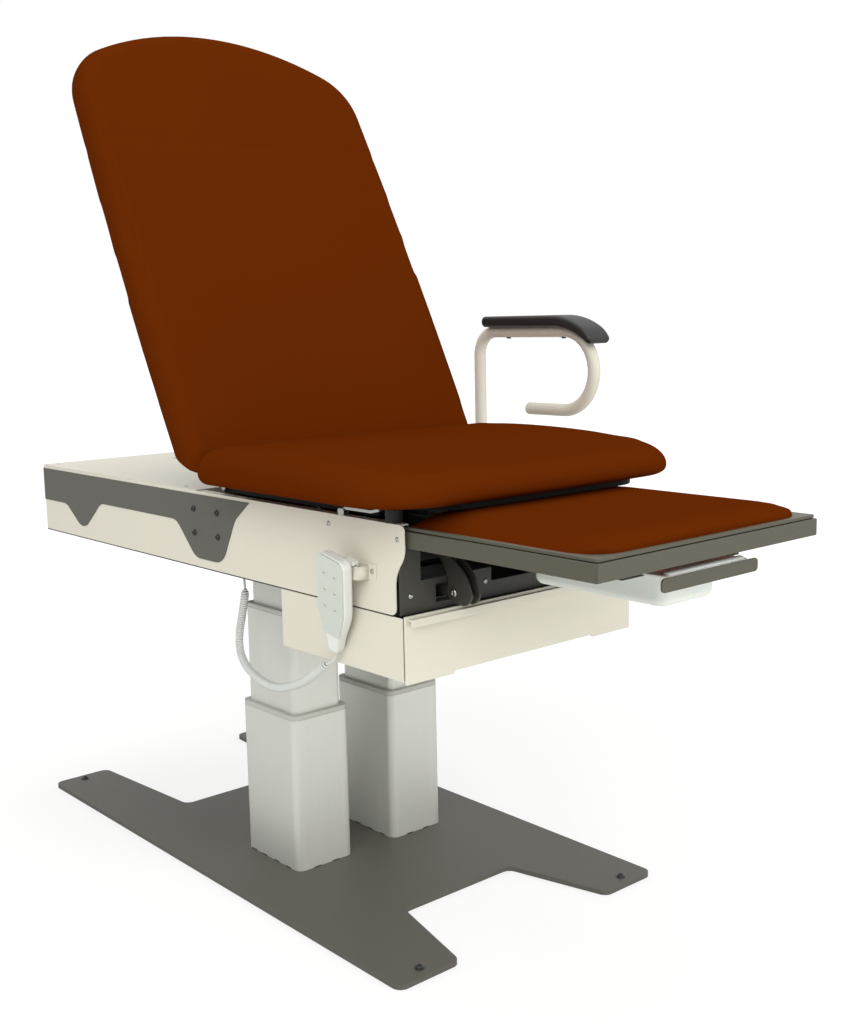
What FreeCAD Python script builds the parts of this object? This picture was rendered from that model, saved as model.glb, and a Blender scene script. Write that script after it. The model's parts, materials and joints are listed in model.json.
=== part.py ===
import FreeCAD, Part
import math
import os
import Sketcher
from FreeCAD import Vector

# Power examination table, millimetres. X is the width (the armrest is on +X), -Y the foot end,
# Z up; the origin is the middle of the base plate's underside. The pose is that of the photo.

os.makedirs("parts", exist_ok=True)
doc = FreeCAD.newDocument("ExaminationTable")
sheet = doc.addObject("Spreadsheet::Sheet", "Dimensions")
NODES = []
NORMAL = {"x": "YZ_Plane", "y": "XZ_Plane", "z": "XY_Plane"}


class Dim:
    """A driving dimension, or a sum made of some: the sheet expression and its number."""

    def __init__(self, text, value):
        self.text = text
        self.value = value

    def __add__(self, other):
        other = as_dim(other)
        return Dim(f"({self.text} + {other.text})", self.value + other.value)

    def __sub__(self, other):
        other = as_dim(other)
        return Dim(f"({self.text} - {other.text})", self.value - other.value)

    def __mul__(self, factor):
        return Dim(f"({self.text} * {factor})", self.value * factor)

    def __truediv__(self, factor):
        return Dim(f"({self.text} / {factor})", self.value / factor)

    def __neg__(self):
        return Dim(f"(0 - {self.text})", -self.value)

    def __radd__(self, other):
        return as_dim(other) + self

    def __rsub__(self, other):
        return as_dim(other) - self

    __rmul__ = __mul__


def as_dim(value):
    return value if isinstance(value, Dim) else Dim(f"({value})", float(value))


def dim(name, value):
    """Writes a driving dimension into the sheet and reads it back."""
    row = len(sheet.PropertiesList) + 1
    sheet.set(f"A{row}", name)
    sheet.set(f"B{row}", str(value))
    sheet.setAlias(f"B{row}", name)
    sheet.recompute()
    return Dim(f"Dimensions.{name}", float(sheet.get(name)))


def new_body(name, node=True):
    body = doc.addObject("PartDesign::Body", name)
    body.Label = name
    if node:
        NODES.append(body)
    return body


def mirrored(name, source):
    """The same piece on the other side of the table's middle plane."""
    twin = doc.addObject("Part::Mirroring", name)
    twin.Label = name
    twin.Source = source
    twin.Normal = Vector(1, 0, 0)
    NODES.append(twin)
    return twin


def free_shape(name, shape):
    feature = doc.addObject("Part::Feature", name)
    feature.Label = name
    feature.Shape = shape
    NODES.append(feature)
    return feature


def arc_between(start, end, radius):
    """An arc of up to half a turn; a positive radius turns left from start to end."""
    chord = end - start
    rise = math.sqrt(max(radius**2 - (chord.Length / 2) ** 2, 0))
    left = Vector(-chord.y, chord.x, 0).normalize()
    centre = (start + end) / 2 + left * math.copysign(rise, radius)
    first, last = (start, end) if radius > 0 else (end, start)
    angles = [math.atan2(p.y - centre.y, p.x - centre.x) for p in (first, last)]
    return Part.ArcOfCircle(Part.Circle(centre, Vector(0, 0, 1), abs(radius)), *angles)


def pin_point(sketch, geometry, position, x, y):
    for kind, place in (("DistanceX", as_dim(x)), ("DistanceY", as_dim(y))):
        number = sketch.addConstraint(
            Sketcher.Constraint(kind, -1, 1, geometry, position, place.value)
        )
        sketch.setExpression(f"Constraints[{number}]", place.text)


def set_radius(sketch, geometry, radius):
    size = radius if radius.value > 0 else -radius
    number = sketch.addConstraint(Sketcher.Constraint("Radius", geometry, size.value))
    sketch.setExpression(f"Constraints[{number}]", size.text)


def draw_outline(sketch, path):
    """A closed run of points; a third entry bends the run to the next point to that radius."""
    points = [Vector(as_dim(p[0]).value, as_dim(p[1]).value, 0) for p in path]
    runs = []
    for index, place in enumerate(path):
        start, end = points[index], points[(index + 1) % len(points)]
        radius = as_dim(place[2]) if len(place) == 3 else None
        if radius is None:
            number = sketch.addGeometry(Part.LineSegment(start, end))
            runs.append((number, 1, 2))
        else:
            number = sketch.addGeometry(arc_between(start, end, radius.value))
            runs.append((number, 1, 2) if radius.value > 0 else (number, 2, 1))
    for index, run in enumerate(runs):
        following = runs[(index + 1) % len(runs)]
        sketch.addConstraint(
            Sketcher.Constraint("Coincident", run[0], run[2], following[0], following[1])
        )
    for run, place in zip(runs, path):
        pin_point(sketch, run[0], run[1], place[0], place[1])
        if len(place) == 3:
            set_radius(sketch, run[0], as_dim(place[2]))


def draw(sketch, loops):
    for loop in loops:
        if isinstance(loop, list):
            draw_outline(sketch, loop)
            continue
        x, y, radius = (as_dim(v) for v in loop)
        circle = Part.Circle(Vector(x.value, y.value, 0), Vector(0, 0, 1), radius.value)
        number = sketch.addGeometry(circle)
        pin_point(sketch, number, 3, x, y)
        set_radius(sketch, number, radius)


def profile(body, axis, level, loops):
    """A sketch square to the axis at that level, drawn in the two other axes."""
    sketch = body.newObject("Sketcher::SketchObject", f"{body.Name}_profile")
    planes = {p.Role: p for p in body.Origin.OriginFeatures}
    sketch.AttachmentSupport = [(planes[NORMAL[axis]], "")]
    sketch.MapMode = "FlatFace"
    offset = -as_dim(level) if axis == "y" else as_dim(level)
    sketch.setExpression("AttachmentOffset.Base.z", offset.text)
    draw(sketch, loops)
    return sketch


def extrude(body, axis, low, high, *loops):
    level = high if axis == "y" else low
    feature = body.newObject("PartDesign::Pad", f"{body.Name}_pad")
    feature.Profile = profile(body, axis, level, loops)
    feature.setExpression("Length", (as_dim(high) - low).text)
    return feature


def cut(body, axis, low, high, *loops):
    level = low if axis == "y" else high
    feature = body.newObject("PartDesign::Pocket", f"{body.Name}_pocket")
    feature.Profile = profile(body, axis, level, loops)
    feature.setExpression("Length", (as_dim(high) - low).text)
    return feature


def fillet(body, radius, pick):
    doc.recompute()
    base = body.Tip
    names = [f"Edge{i}" for i, edge in enumerate(base.Shape.Edges, 1) if pick(edge)]
    feature = body.newObject("PartDesign::Fillet", f"{body.Name}_fillet")
    feature.Base = (base, names)
    feature.setExpression("Radius", as_dim(radius).text)
    return feature


def reach(edge, axis):
    low, high = {
        "x": (edge.BoundBox.XMin, edge.BoundBox.XMax),
        "y": (edge.BoundBox.YMin, edge.BoundBox.YMax),
        "z": (edge.BoundBox.ZMin, edge.BoundBox.ZMax),
    }[axis]
    return low, high


def along(axis, longer=1.0):
    """Picks straight edges that run along the axis."""

    def pick(edge):
        others = [reach(edge, a) for a in "xyz" if a != axis]
        low, high = reach(edge, axis)
        return high - low > longer and all(b - a < 1e-4 for a, b in others)

    return pick


def lying(axis, *levels):
    """Picks edges that lie in one of the planes square to the axis."""

    def pick(edge):
        low, high = reach(edge, axis)
        return high - low < 1e-4 and any(abs(low - as_dim(v).value) < 1e-3 for v in levels)

    return pick


def rect(x0, x1, y0, y1):
    return [(x0, y0), (x1, y0), (x1, y1), (x0, y1)]


def rounded(x0, x1, y0, y1, radius):
    x0, x1, y0, y1, r = (as_dim(v) for v in (x0, x1, y0, y1, radius))
    return [
        (x0 + r, y0), (x1 - r, y0, r), (x1, y0 + r), (x1, y1 - r, r),
        (x1 - r, y1), (x0 + r, y1, r), (x0, y1 - r), (x0, y0 + r, r),
    ]


def block(body, xs, ys, zs):
    return extrude(body, "z", zs[0], zs[1], rect(*xs, *ys))


def span(side, inner, outer):
    """The range from inner to outer on the near (-1) or far (+1) side."""
    return (inner, outer) if side > 0 else (-as_dim(outer), -as_dim(inner))


def both(half):
    return (-as_dim(half), half)


def pipe(points, radius, bends):
    """A round tube along straight runs joined by arcs of the given radii at the inner points."""
    edges = []
    last = points[0]
    for before, corner, after, bend in zip(points, points[1:], points[2:], bends):
        inward = (before - corner).normalize()
        onward = (after - corner).normalize()
        half = inward.getAngle(onward) / 2
        back = bend / math.tan(half)
        middle = (inward + onward).normalize() * (bend / math.sin(half) - bend)
        first, final = corner + inward * back, corner + onward * back
        edges.append(Part.LineSegment(last, first).toShape())
        edges.append(Part.Arc(first, corner + middle, final).toShape())
        last = final
    edges.append(Part.LineSegment(last, points[-1]).toShape())
    wire = Part.Wire(edges)
    ring = Part.Wire(Part.Circle(points[0], points[1] - points[0], radius).toShape())
    return wire.makePipeShell([ring], True, False)


# Driving dimensions.
plate_width = dim("plate_width", 627)
plate_length = dim("plate_length", 1255)
plate_thick = dim("plate_thick", 9)
plate_corner = dim("plate_corner", 18)
tip_half = dim("notch_tip_half", 183.5)
front_half = dim("front_notch_half", 132)
front_root = dim("front_notch_root", 422.5)
rear_half = dim("rear_notch_half", 157)
rear_root = dim("rear_notch_root", 298)
foot_x = dim("foot_x", 250.5)
foot_y = dim("foot_y", 603)
foot_radius = dim("foot_radius", 8.5)

column_x = dim("column_x", 117.3)
column_y = dim("column_y", -79.4)
outer_width = dim("outer_width", 132)
outer_depth = dim("outer_depth", 181)
middle_width = dim("middle_width", 113)
middle_depth = dim("middle_depth", 159)
inner_width = dim("inner_width", 94)
inner_depth = dim("inner_depth", 137)
tube_wall = dim("tube_wall", 4)
tube_corner = dim("tube_corner", 17)
slide_gap = dim("slide_gap", 0.4)
collar_height = dim("collar_height", 9)
outer_top = dim("outer_top", 310)
middle_low = dim("middle_low", 205)
middle_top = dim("middle_top", 508)
inner_low = dim("inner_low", 275)

body_half = dim("body_half", 267)
body_low = dim("body_low", 597)
body_top = dim("body_top", 746)
head_end = dim("head_end", 681)
sheet_thick = dim("sheet_thick", 2)
pan_sheet = dim("floor_sheet", 2.5)
accent_thick = dim("accent_thick", 1.5)
accent_top = dim("accent_top", 740)
accent_curve = dim("accent_curve", 42)
bolt_y = dim("bolt_y", -26.3)
bolt_z = dim("bolt_z", 688)
bolt_pitch_y = dim("bolt_pitch_y", 83.4)
bolt_pitch_z = dim("bolt_pitch_z", 46)
front_y = dim("front_panel_y", -593)
bumper_x = dim("bumper_x", 255)
bumper_y = dim("bumper_y", -572)
bumper_radius = dim("bumper_radius", 14)

drawer_half = dim("drawer_half", 266)
drawer_low = dim("drawer_low", 494)
drawer_back = dim("drawer_back", -267)
drawer_mouth = dim("drawer_mouth", -600)
drawer_face = dim("drawer_face", -608.6)

leg_half = dim("leg_half", 260)
leg_front = dim("leg_front", -997.5)
leg_rear = dim("leg_rear", -600)
leg_low = dim("leg_low", 709)
leg_top = dim("leg_top", 736)
leg_pad_half = dim("leg_pad_half", 252)
leg_pad_edge = dim("leg_pad_edge", 6.5)
leg_pad_crown = dim("leg_pad_crown", 3532)
leg_pad_corner = dim("leg_pad_corner", 62)
leg_pad_margin = dim("leg_pad_margin", 12.5)
runner_x = dim("runner_x", 211)
runner_z = dim("runner_z", 721.5)

pan_half = dim("pan_half", 65)
pan_front = dim("pan_front", -951)
pan_rear = dim("pan_rear", -684)
pan_low = dim("pan_low", 635)
pan_rim = dim("pan_rim", 693)
pan_wall = dim("pan_wall", 2.5)
rim_half = dim("rim_half", 98)
rim_front = dim("rim_front", -986)

stirrup_x = dim("stirrup_x", 173)
stirrup_z = dim("stirrup_z", 626.5)
fork_x = dim("fork_x", 157)
fork_half = dim("fork_half", 11)
fork_plate = dim("fork_plate", 4)
fork_y = dim("fork_y", -636)
fork_z = dim("fork_z", 622)
fork_pin = dim("fork_pin", 4)

hinge_y = dim("hinge_y", -58)
hinge_z = dim("hinge_z", 757)
hinge_pin = dim("hinge_pin", 7)
pin_play = dim("pin_play", 0.06)
back_angle = dim("back_angle", 63)
pad_thick = dim("pad_thick", 67)
pad_lift = dim("pad_lift", 19)
back_front_round = dim("back_front_round", 30)
back_rear_round = dim("back_rear_round", 26)
cut_round = dim("cushion_cut_round", 8)
back_overrun = dim("back_overrun", 90)
back_half = dim("back_half", 351)
back_bulge = dim("back_bulge", 12500)
back_bulge_at = dim("back_bulge_at", 270)
back_crown = dim("back_crown", 611)
back_corner = dim("back_corner", 122)
back_apex = dim("back_apex", 975.4)
crank_angle = dim("crank_angle", 37.5)
yoke_drop = dim("yoke_drop", 70)
yoke_y = dim("yoke_y", -22.2)
yoke_pin = dim("yoke_pin", 7)
rod_radius = dim("rod_radius", 11)

seat_half = dim("seat_half", 356)
seat_front = dim("seat_front", -693)
seat_top_round = dim("seat_top_round", 44)
seat_low_round = dim("seat_low_round", 20)
seat_rear = dim("seat_rear", -147)
seat_overrun = dim("seat_overrun", 100)
seat_corner = dim("seat_corner", 124)
seat_bow = dim("seat_bow", 7)
seat_bow_radius = dim("seat_bow_radius", 4260)
seat_low = dim("seat_low", 778)

arm_x = dim("arm_x", 410)
arm_y = dim("arm_y", -68.5)
arm_tube = dim("arm_tube", 12.7)
arm_top = dim("arm_top", 1030)
arm_bend = dim("arm_bend", 50)
arm_loop = dim("arm_loop", 80)
arm_loop_y = dim("arm_loop_y", -317)
arm_end_y = dim("arm_end_y", -215)
arm_pad_half = dim("arm_pad_half", 31)

handset_x = dim("handset_x", -306)
handset_y = dim("handset_y", -467)
handset_z = dim("handset_z", 615)
handset_roll = dim("handset_roll", 14)
handset_tilt = dim("handset_tilt", 10)
handset_half = dim("handset_half", 34)
handset_thick = dim("handset_thick", 23)
hook_x = dim("hook_x", -288.5)
coil_radius = dim("coil_radius", 8)
wire_radius = dim("wire_radius", 2.2)
floor_top = body_low + pan_sheet


# Base: a notched floor plate with four levelling feet.
half_width, half_length = plate_width / 2, plate_length / 2
plate = new_body("base_plate")
extrude(plate, "z", 0, plate_thick, [
    (-half_width, -half_length), (-tip_half, -half_length), (-front_half, -front_root),
    (front_half, -front_root), (tip_half, -half_length), (half_width, -half_length),
    (half_width, half_length), (tip_half, half_length), (rear_half, rear_root),
    (-rear_half, rear_root), (-tip_half, half_length), (-half_width, half_length),
])
fillet(plate, plate_corner, along("z"))
foot_spots = [(x, y) for x in both(foot_x) for y in both(foot_y)]
cut(plate, "z", 0, plate_thick, *[(x, y, 6.1) for x, y in foot_spots])
feet = new_body("leveling_feet")
extrude(feet, "z", 0, plate_thick, *[(x, y, 6) for x, y in foot_spots])
extrude(feet, "z", plate_thick, plate_thick + 5, *[(x, y, foot_radius) for x, y in foot_spots])


# Twin lifting columns: three nested tubes each, with a guide collar on the two lower ones.
def ring_loops(side, width, depth, bore_width, bore_depth, corner, bore_corner):
    x = column_x * side
    outer = rounded(x - width / 2, x + width / 2, column_y - depth / 2, column_y + depth / 2, corner)
    inner = rounded(
        x - bore_width / 2, x + bore_width / 2, column_y - bore_depth / 2,
        column_y + bore_depth / 2, bore_corner,
    )
    return [outer, inner]


def column_tube(side, width, depth, corner):
    wall = tube_wall * 2
    return ring_loops(side, width, depth, width - wall, depth - wall, corner, corner - tube_wall)


def collar_loops(side, width, depth, bore_width, bore_depth, corner, bore_corner):
    play = slide_gap * 2
    return ring_loops(
        side, width, depth, bore_width + play, bore_depth + play, corner, bore_corner + slide_gap
    )


middle_corner = tube_corner - 3
inner_corner = tube_corner - 6
lower_collars = new_body("outer_collars")
for side in (-1, 1):
    loops = collar_loops(
        side, outer_width, outer_depth, middle_width, middle_depth, tube_corner, middle_corner
    )
    extrude(lower_collars, "z", outer_top, outer_top + collar_height, *loops)
for side, word in ((-1, "near"), (1, "far")):
    tube = new_body(f"{word}_outer_column")
    extrude(tube, "z", plate_thick, outer_top, *column_tube(side, outer_width, outer_depth, tube_corner))
    tube = new_body(f"{word}_middle_column")
    loops = column_tube(side, middle_width, middle_depth, middle_corner)
    extrude(tube, "z", middle_low, middle_top, *loops)
    collar = new_body(f"{word}_middle_collar")
    loops = collar_loops(
        side, middle_width, middle_depth, inner_width, inner_depth, middle_corner, inner_corner
    )
    extrude(collar, "z", middle_top, middle_top + collar_height, *loops)
    tube = new_body(f"{word}_inner_column")
    loops = column_tube(side, inner_width, inner_depth, inner_corner)
    extrude(tube, "z", inner_low, body_low, *loops)


# Chassis: cross plates over the columns, long rails, stirrup channels, leg guides, hinge ears.
chassis = new_body("chassis")
plate_level = floor_top + 9
rail_out = body_half - 19
rail_in = rail_out - 34
rail_top = floor_top + 50.5
strap_top = floor_top + 40
foot_strap, knee_strap, motor_strap, head_strap = (-560, -520), (-300, -260), (478, 498), (620, 650)
channel_front, channel_rear = -588, -240
guide_front, guide_rear = -585, -260
guide_half, guide_rise = 10, 12
ear_in, ear_out = 226, 233
block(chassis, both(rail_out), (column_y - 80, column_y + 80), (floor_top, plate_level))
for strap, top in (
    (foot_strap, plate_level), (knee_strap, plate_level), (motor_strap, strap_top), (head_strap, strap_top),
):
    block(chassis, both(rail_in + 2), strap, (floor_top, top))
for side in (-1, 1):
    block(chassis, span(side, rail_in, rail_out), (-570, 660), (floor_top, rail_top))
    box = span(side, stirrup_x - 19, stirrup_x + 19)
    block(chassis, box, (channel_front, channel_rear), (plate_level, stirrup_z + 18))
    for start, _ in (foot_strap, knee_strap):
        post = span(side, rail_in, rail_in + 7)
        block(chassis, post, (start, start + 20), (rail_top, runner_z - guide_rise))
    guide = span(side, runner_x - guide_half, runner_x + guide_half)
    block(chassis, guide, (guide_front, guide_rear), (runner_z - guide_rise, runner_z + guide_rise))
    ear = [
        (hinge_y - 30, rail_top), (hinge_y + 30, rail_top), (hinge_y + 13, hinge_z),
        (hinge_y + 9, hinge_z + 10), (hinge_y - 9, hinge_z + 10), (hinge_y - 13, hinge_z),
    ]
    extrude(chassis, "x", *span(side, ear_in, ear_out), ear)
    channel = span(side, stirrup_x - 20, stirrup_x + 16)
    cut(chassis, "y", channel_front - 2, channel_rear + 2, rect(*channel, stirrup_z - 15, stirrup_z + 15))
    for half, low, high in ((7, -9, 9), (4, 0, guide_rise + 1)):
        groove = rect(*span(side, runner_x - half, runner_x + half), runner_z + low, runner_z + high)
        cut(chassis, "y", guide_front - 5, guide_rear + 5, groove)
    cut(chassis, "x", *span(side, ear_in - 1, ear_out + 1), (hinge_y, hinge_z, hinge_pin))
block(chassis, both(10), motor_strap, (strap_top, hinge_z - yoke_drop + 14))
pins = new_body("hinge_pins")
for side in (-1, 1):
    extrude(pins, "x", *span(side, ear_in - 14, ear_out + 13), (hinge_y, hinge_z, hinge_pin))


# Housing: floor sheet, folded side panels with a curved front edge, top cover, front panel.
floor = new_body("bottom_pan")
block(floor, both(body_half), (-578, head_end), (body_low, floor_top))

panel = new_body("near_side_panel")
panel_x = -body_half
extrude(panel, "x", panel_x, panel_x + sheet_thick, [
    (head_end, floor_top), (head_end, body_top), (-600, body_top, 10), (-610, body_top - 10),
    (-610.5, 712, 45),
    (-600, 683, -58), (-586.5, 646), (-586.5, floor_top + 12, 12), (-574.5, floor_top),
])
block(panel, (panel_x, panel_x + 18), (-600, head_end - 2), (body_top - sheet_thick, body_top))
block(panel, (panel_x, panel_x + 17), (-570, head_end - 2), (floor_top, floor_top + sheet_thick))
mirrored("far_side_panel", panel)

accent = new_body("near_accent_plate")
extrude(accent, "x", panel_x - accent_thick, panel_x, [
    (head_end, accent_top - 72), (head_end, accent_top), (-178, accent_top), (-128, accent_top - 37),
    (-80, accent_top - 124), (16, accent_top - 124), (84, accent_top - 56.5), (404, accent_top - 56.5),
    (492, accent_top - 125), (570, accent_top - 72),
])


def wave_corner(edge):
    return along("x")(edge) and edge.BoundBox.YMin < 600 and edge.BoundBox.ZMax < accent_top.value - 1


fillet(accent, accent_curve, wave_corner)
mirrored("far_accent_plate", accent)

bolts = [(bolt_y + bolt_pitch_y * a, bolt_z + bolt_pitch_z * b) for a in (-0.5, 0.5) for b in (-0.5, 0.5)]
bracket_face = body_half + accent_thick + 6
head_radius, head_height = 6, 3.5
accent_face = panel_x - accent_thick
heads = new_body("accent_screws")
rounds = [(y, z, head_radius) for y, z in bolts]
extrude(heads, "x", accent_face - head_height, accent_face, *rounds)
extrude(heads, "x", bracket_face, bracket_face + head_height, *rounds)

cover = new_body("head_cover")
inside = body_half - sheet_thick
cover_front = 5
cover_top = body_top + sheet_thick
block(cover, both(body_half), (cover_front, head_end), (body_top, cover_top))
block(cover, both(inside), (head_end - sheet_thick, head_end), (floor_top, body_top))
block(cover, both(body_half - 20), (cover_front, cover_front + sheet_thick), (body_top - 12, body_top))

front = new_body("front_panel")
wing, gate, bay = inside - 0.3, 221, 67
wing_top, gate_top, bay_top = 705, 651, 628
face_front, face_rear = front_y - 1, front_y + 1
extrude(front, "y", face_front, face_rear, [
    (-wing, floor_top), (wing, floor_top), (wing, wing_top), (gate, wing_top), (gate, gate_top),
    (bay, gate_top), (bay, bay_top), (-bay, bay_top), (-bay, gate_top), (-gate, gate_top),
    (-gate, wing_top), (-wing, wing_top),
])
window_in, window_out = stirrup_x - 51, stirrup_x + 17
for side in (-1, 1):
    window = rect(*span(side, window_in, window_out), stirrup_z - 15.5, stirrup_z + 15.5)
    cut(front, "y", face_front, face_rear, window)

screw_radius = 4.5
screws = new_body("panel_screws")
side_spots = [(-415.4, 728.5), (-593.6, 722)]
face_spots = [(x, 628.5) for x in (-243, -81, 81, 243)]
cover_spots = [(-242, 658), (242, 658), (-250, 71), (250, 71), (0, 550)]
for axis, low, high, spots in (
    ("x", panel_x - 2, panel_x, side_spots), ("y", face_front - 2, face_front, face_spots),
    ("z", cover_top, cover_top + 1.5, cover_spots),
):
    extrude(screws, axis, low, high, *[(a, b, screw_radius) for a, b in spots])

bumpers = new_body("seat_bumpers")
extrude(bumpers, "z", body_top, seat_low - 10.3, *[(x, bumper_y, bumper_radius) for x in both(bumper_x)])


# Drawer under the foot end: an open housing, a tray and a folded front.
housing = new_body("drawer_housing")
block(housing, both(drawer_half), (drawer_mouth, drawer_back), (drawer_low, body_low))
cut(housing, "z", drawer_low + sheet_thick, body_low, rect(
    *both(drawer_half - sheet_thick), drawer_mouth - 1, drawer_back - sheet_thick))
for side in (-1, 1):
    skid = (drawer_low + sheet_thick, drawer_low + 10.5)
    block(housing, span(side, 238, 254), (drawer_mouth + 5, drawer_back - 8), skid)

tray = new_body("drawer_tray")
tray_half, tray_low, tray_top, tray_wall = drawer_half - 12, drawer_low + 11, 585, 1.5
face_rear, tray_rear = drawer_face + 4.6, drawer_back - 18
block(tray, both(tray_half), (face_rear, tray_rear), (tray_low, tray_top))
cut(tray, "z", tray_low + tray_wall, tray_top, rect(
    *both(tray_half - tray_wall), face_rear + tray_wall, tray_rear - tray_wall))
tray_front = new_body("drawer_front")
face_low, face_top = drawer_low - 3, body_low + 4
notch_half, notch_rise = 168, 4.5
extrude(tray_front, "y", drawer_face, face_rear, [
    (-body_half, face_low), (-notch_half, face_low), (5 - notch_half, face_low + notch_rise),
    (notch_half - 5, face_low + notch_rise), (notch_half, face_low), (body_half, face_low),
    (body_half, face_top), (-body_half, face_top),
])
pull_half, pull_depth, pull_sheet = drawer_half - 4, 9, 2.5
pull_front = drawer_face - pull_depth
block(tray_front, both(pull_half), (pull_front, drawer_face), (face_top - 7, face_top - 4))
block(tray_front, both(pull_half), (pull_front, pull_front + pull_sheet), (face_top - 17, face_top - 7))


# Leg extension: a folded tray on two guided runners, its pad, and rails that hold the basin.
leg = new_body("leg_frame")
skin, lip = sheet_thick, 14
block(leg, both(leg_half), (leg_front, leg_rear), (leg_low, leg_top))
cut(leg, "z", leg_low + skin, leg_top - skin, rect(*both(leg_half - skin), leg_front + skin, leg_rear + 1))
cut(leg, "z", leg_low, leg_low + skin, rect(*both(leg_half - lip), leg_front + lip, leg_rear + 1))
runner = (leg_front + lip, -470)
for side in (-1, 1):
    seam = rect(*span(side, leg_half - 1.5, leg_half + 1), leg_front - 1, leg_front + 1.5)
    cut(leg, "z", leg_low, leg_top, seam)
    block(leg, span(side, runner_x - 2, runner_x + 2), runner, (runner_z, leg_top - skin))
    block(leg, span(side, runner_x - 6, runner_x + 6), runner, (runner_z - 8, runner_z + 8))

leg_pad = new_body("leg_pad")
brow = leg_top + leg_pad_edge
extrude(leg_pad, "y", leg_front + leg_pad_margin, leg_rear, [
    (-leg_pad_half, leg_top), (leg_pad_half, leg_top), (leg_pad_half, brow, leg_pad_crown),
    (-leg_pad_half, brow),
])


def leg_pad_nose(edge):
    return along("z")(edge) and edge.BoundBox.YMax < leg_rear.value - 1


def leg_pad_rim(edge):
    return edge.BoundBox.ZMin > brow.value - 0.5 and edge.BoundBox.YMin < leg_rear.value - 1


fillet(leg_pad, leg_pad_corner, leg_pad_nose)
fillet(leg_pad, 5, leg_pad_rim)

rails = new_body("pan_rails")
shelf_in, shelf_out, shelf_low = rim_half - 8, rim_half + 40, pan_rim - 6
shelf_run = (leg_front + 60, leg_rear - 40)
for side in (-1, 1):
    block(rails, span(side, shelf_out - 3, shelf_out), shelf_run, (shelf_low, leg_top - skin))
    block(rails, span(side, shelf_in, shelf_out), shelf_run, (shelf_low, shelf_low + 3))

pan = new_body("treatment_pan")
extrude(pan, "z", pan_low, pan_rim, rounded(*both(pan_half - 1), pan_front, pan_rear, 18))
extrude(pan, "z", pan_rim - 2.7, pan_rim, rounded(*both(rim_half), rim_front, pan_rear + 8, 12))
inner = pan_half - 1 - pan_wall
cut(pan, "z", pan_low + pan_wall, pan_rim, rounded(
    *both(inner), pan_front + pan_wall, pan_rear - pan_wall, 15.5))
fillet(pan, 11.5, lying("z", pan_low + pan_wall))
fillet(pan, 14, lying("z", pan_low))

handle = new_body("pan_handle")
extrude(handle, "y", rim_front - 3, rim_front, rounded(*both(114), pan_rim - 21, pan_rim - 0.4, 7))
block(handle, both(86), (rim_front, rim_front + 9), (pan_rim - 5.7, pan_rim - 2.7))


# Pull-out stirrups: a bar in its channel and a curved fork that swings on the bar's tongue.
bar = new_body("near_stirrup_bar")
bar_front, bar_rear, root_front, root_rear = -584, -240, -588, -566
bar_loops = [
    rect(-stirrup_x - half, -stirrup_x + half, stirrup_z - rise, stirrup_z + rise)
    for half, rise in ((15, 13.5), (12, 10.5))
]
extrude(bar, "y", bar_front, bar_rear, *bar_loops)
tongue = (-fork_x - 4, -fork_x + 4)
fork_sides = (-fork_x - fork_half, -fork_x + fork_half)
block(bar, (-stirrup_x + 12, tongue[1]), (root_front, root_rear), (stirrup_z - 8, stirrup_z + 8))
block(bar, tongue, (fork_y, root_front + 2), (fork_z - 6, stirrup_z + 8))
extrude(bar, "x", *tongue, (fork_y, fork_z, 8))
extrude(bar, "x", *fork_sides, (fork_y, fork_z, fork_pin))
mirrored("far_stirrup_bar", bar)

fork = new_body("near_heel_fork")
arm_path = [
    (fork_y - 17, fork_z + 4, 20), (fork_y + 2, fork_z - 15), (fork_y + 21, fork_z - 14, 20),
    (fork_y + 39, fork_z + 5), (fork_y + 37, fork_z + 21, -80), (fork_y + 57, fork_z + 57),
    (fork_y + 41, fork_z + 69), (fork_y + 19, fork_z + 53, 75),
]
extrude(fork, "x", fork_sides[0], fork_sides[0] + fork_plate, arm_path)
extrude(fork, "x", fork_sides[1] - fork_plate, fork_sides[1], arm_path)
extrude(fork, "x", *fork_sides, (fork_y + 40, fork_z + 54, 5))
cut(fork, "x", *fork_sides, (fork_y, fork_z, fork_pin + pin_play))
mirrored("far_heel_fork", fork)


# Seat: frame hinged at its rear end, foam pad and a drop-in prop on the near side.
pad_top = seat_low + pad_thick
frame = new_body("seat_frame")
board_low, beam_low, board_half = seat_low - 10, seat_low - 28, 246
arm_in, arm_out, arm_front = 236, 242, -300
extrude(frame, "z", board_low, seat_low, rounded(
    *both(board_half), seat_front + 28, seat_rear - 6, 70))
for side in (-1, 1):
    block(frame, span(side, board_half - 6, board_half + 6), (-530, -100), (beam_low, board_low))
    lug = span(side, board_half - 8, bumper_x + 17)
    block(frame, lug, (bumper_y - 20, bumper_y + 20), (board_low, seat_low))
    extrude(frame, "x", *span(side, arm_in, arm_out), [
        (arm_front, beam_low), (hinge_y, hinge_z - 10, 10.5), (hinge_y, hinge_z + 10),
        (arm_front, board_low),
    ])
    cut(frame, "x", *span(side, arm_in - 1, arm_out + 1), (hinge_y, hinge_z, hinge_pin + pin_play))

seat = new_body("seat_pad")
nose_y = seat_front + seat_bow
corner_x, corner_y = seat_half - seat_corner, nose_y + seat_corner
tail_y = seat_rear + seat_overrun
tail_round = seat_overrun * 0.6
tail_x = seat_half - tail_round
extrude(seat, "z", seat_low, pad_top, [
    (-corner_x, nose_y, seat_bow_radius), (corner_x, nose_y, seat_corner), (seat_half, corner_y),
    (seat_half, tail_y - tail_round, tail_round), (tail_x, tail_y), (-tail_x, tail_y, tail_round),
    (-seat_half, tail_y - tail_round), (-seat_half, corner_y, seat_corner),
])
fillet(seat, seat_top_round, lying("z", pad_top))
fillet(seat, seat_low_round, lying("z", seat_low))
cut(seat, "z", seat_low, pad_top, rect(*both(seat_half + 1), seat_rear, tail_y + 1))
fillet(seat, cut_round, lying("y", seat_rear))

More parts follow.
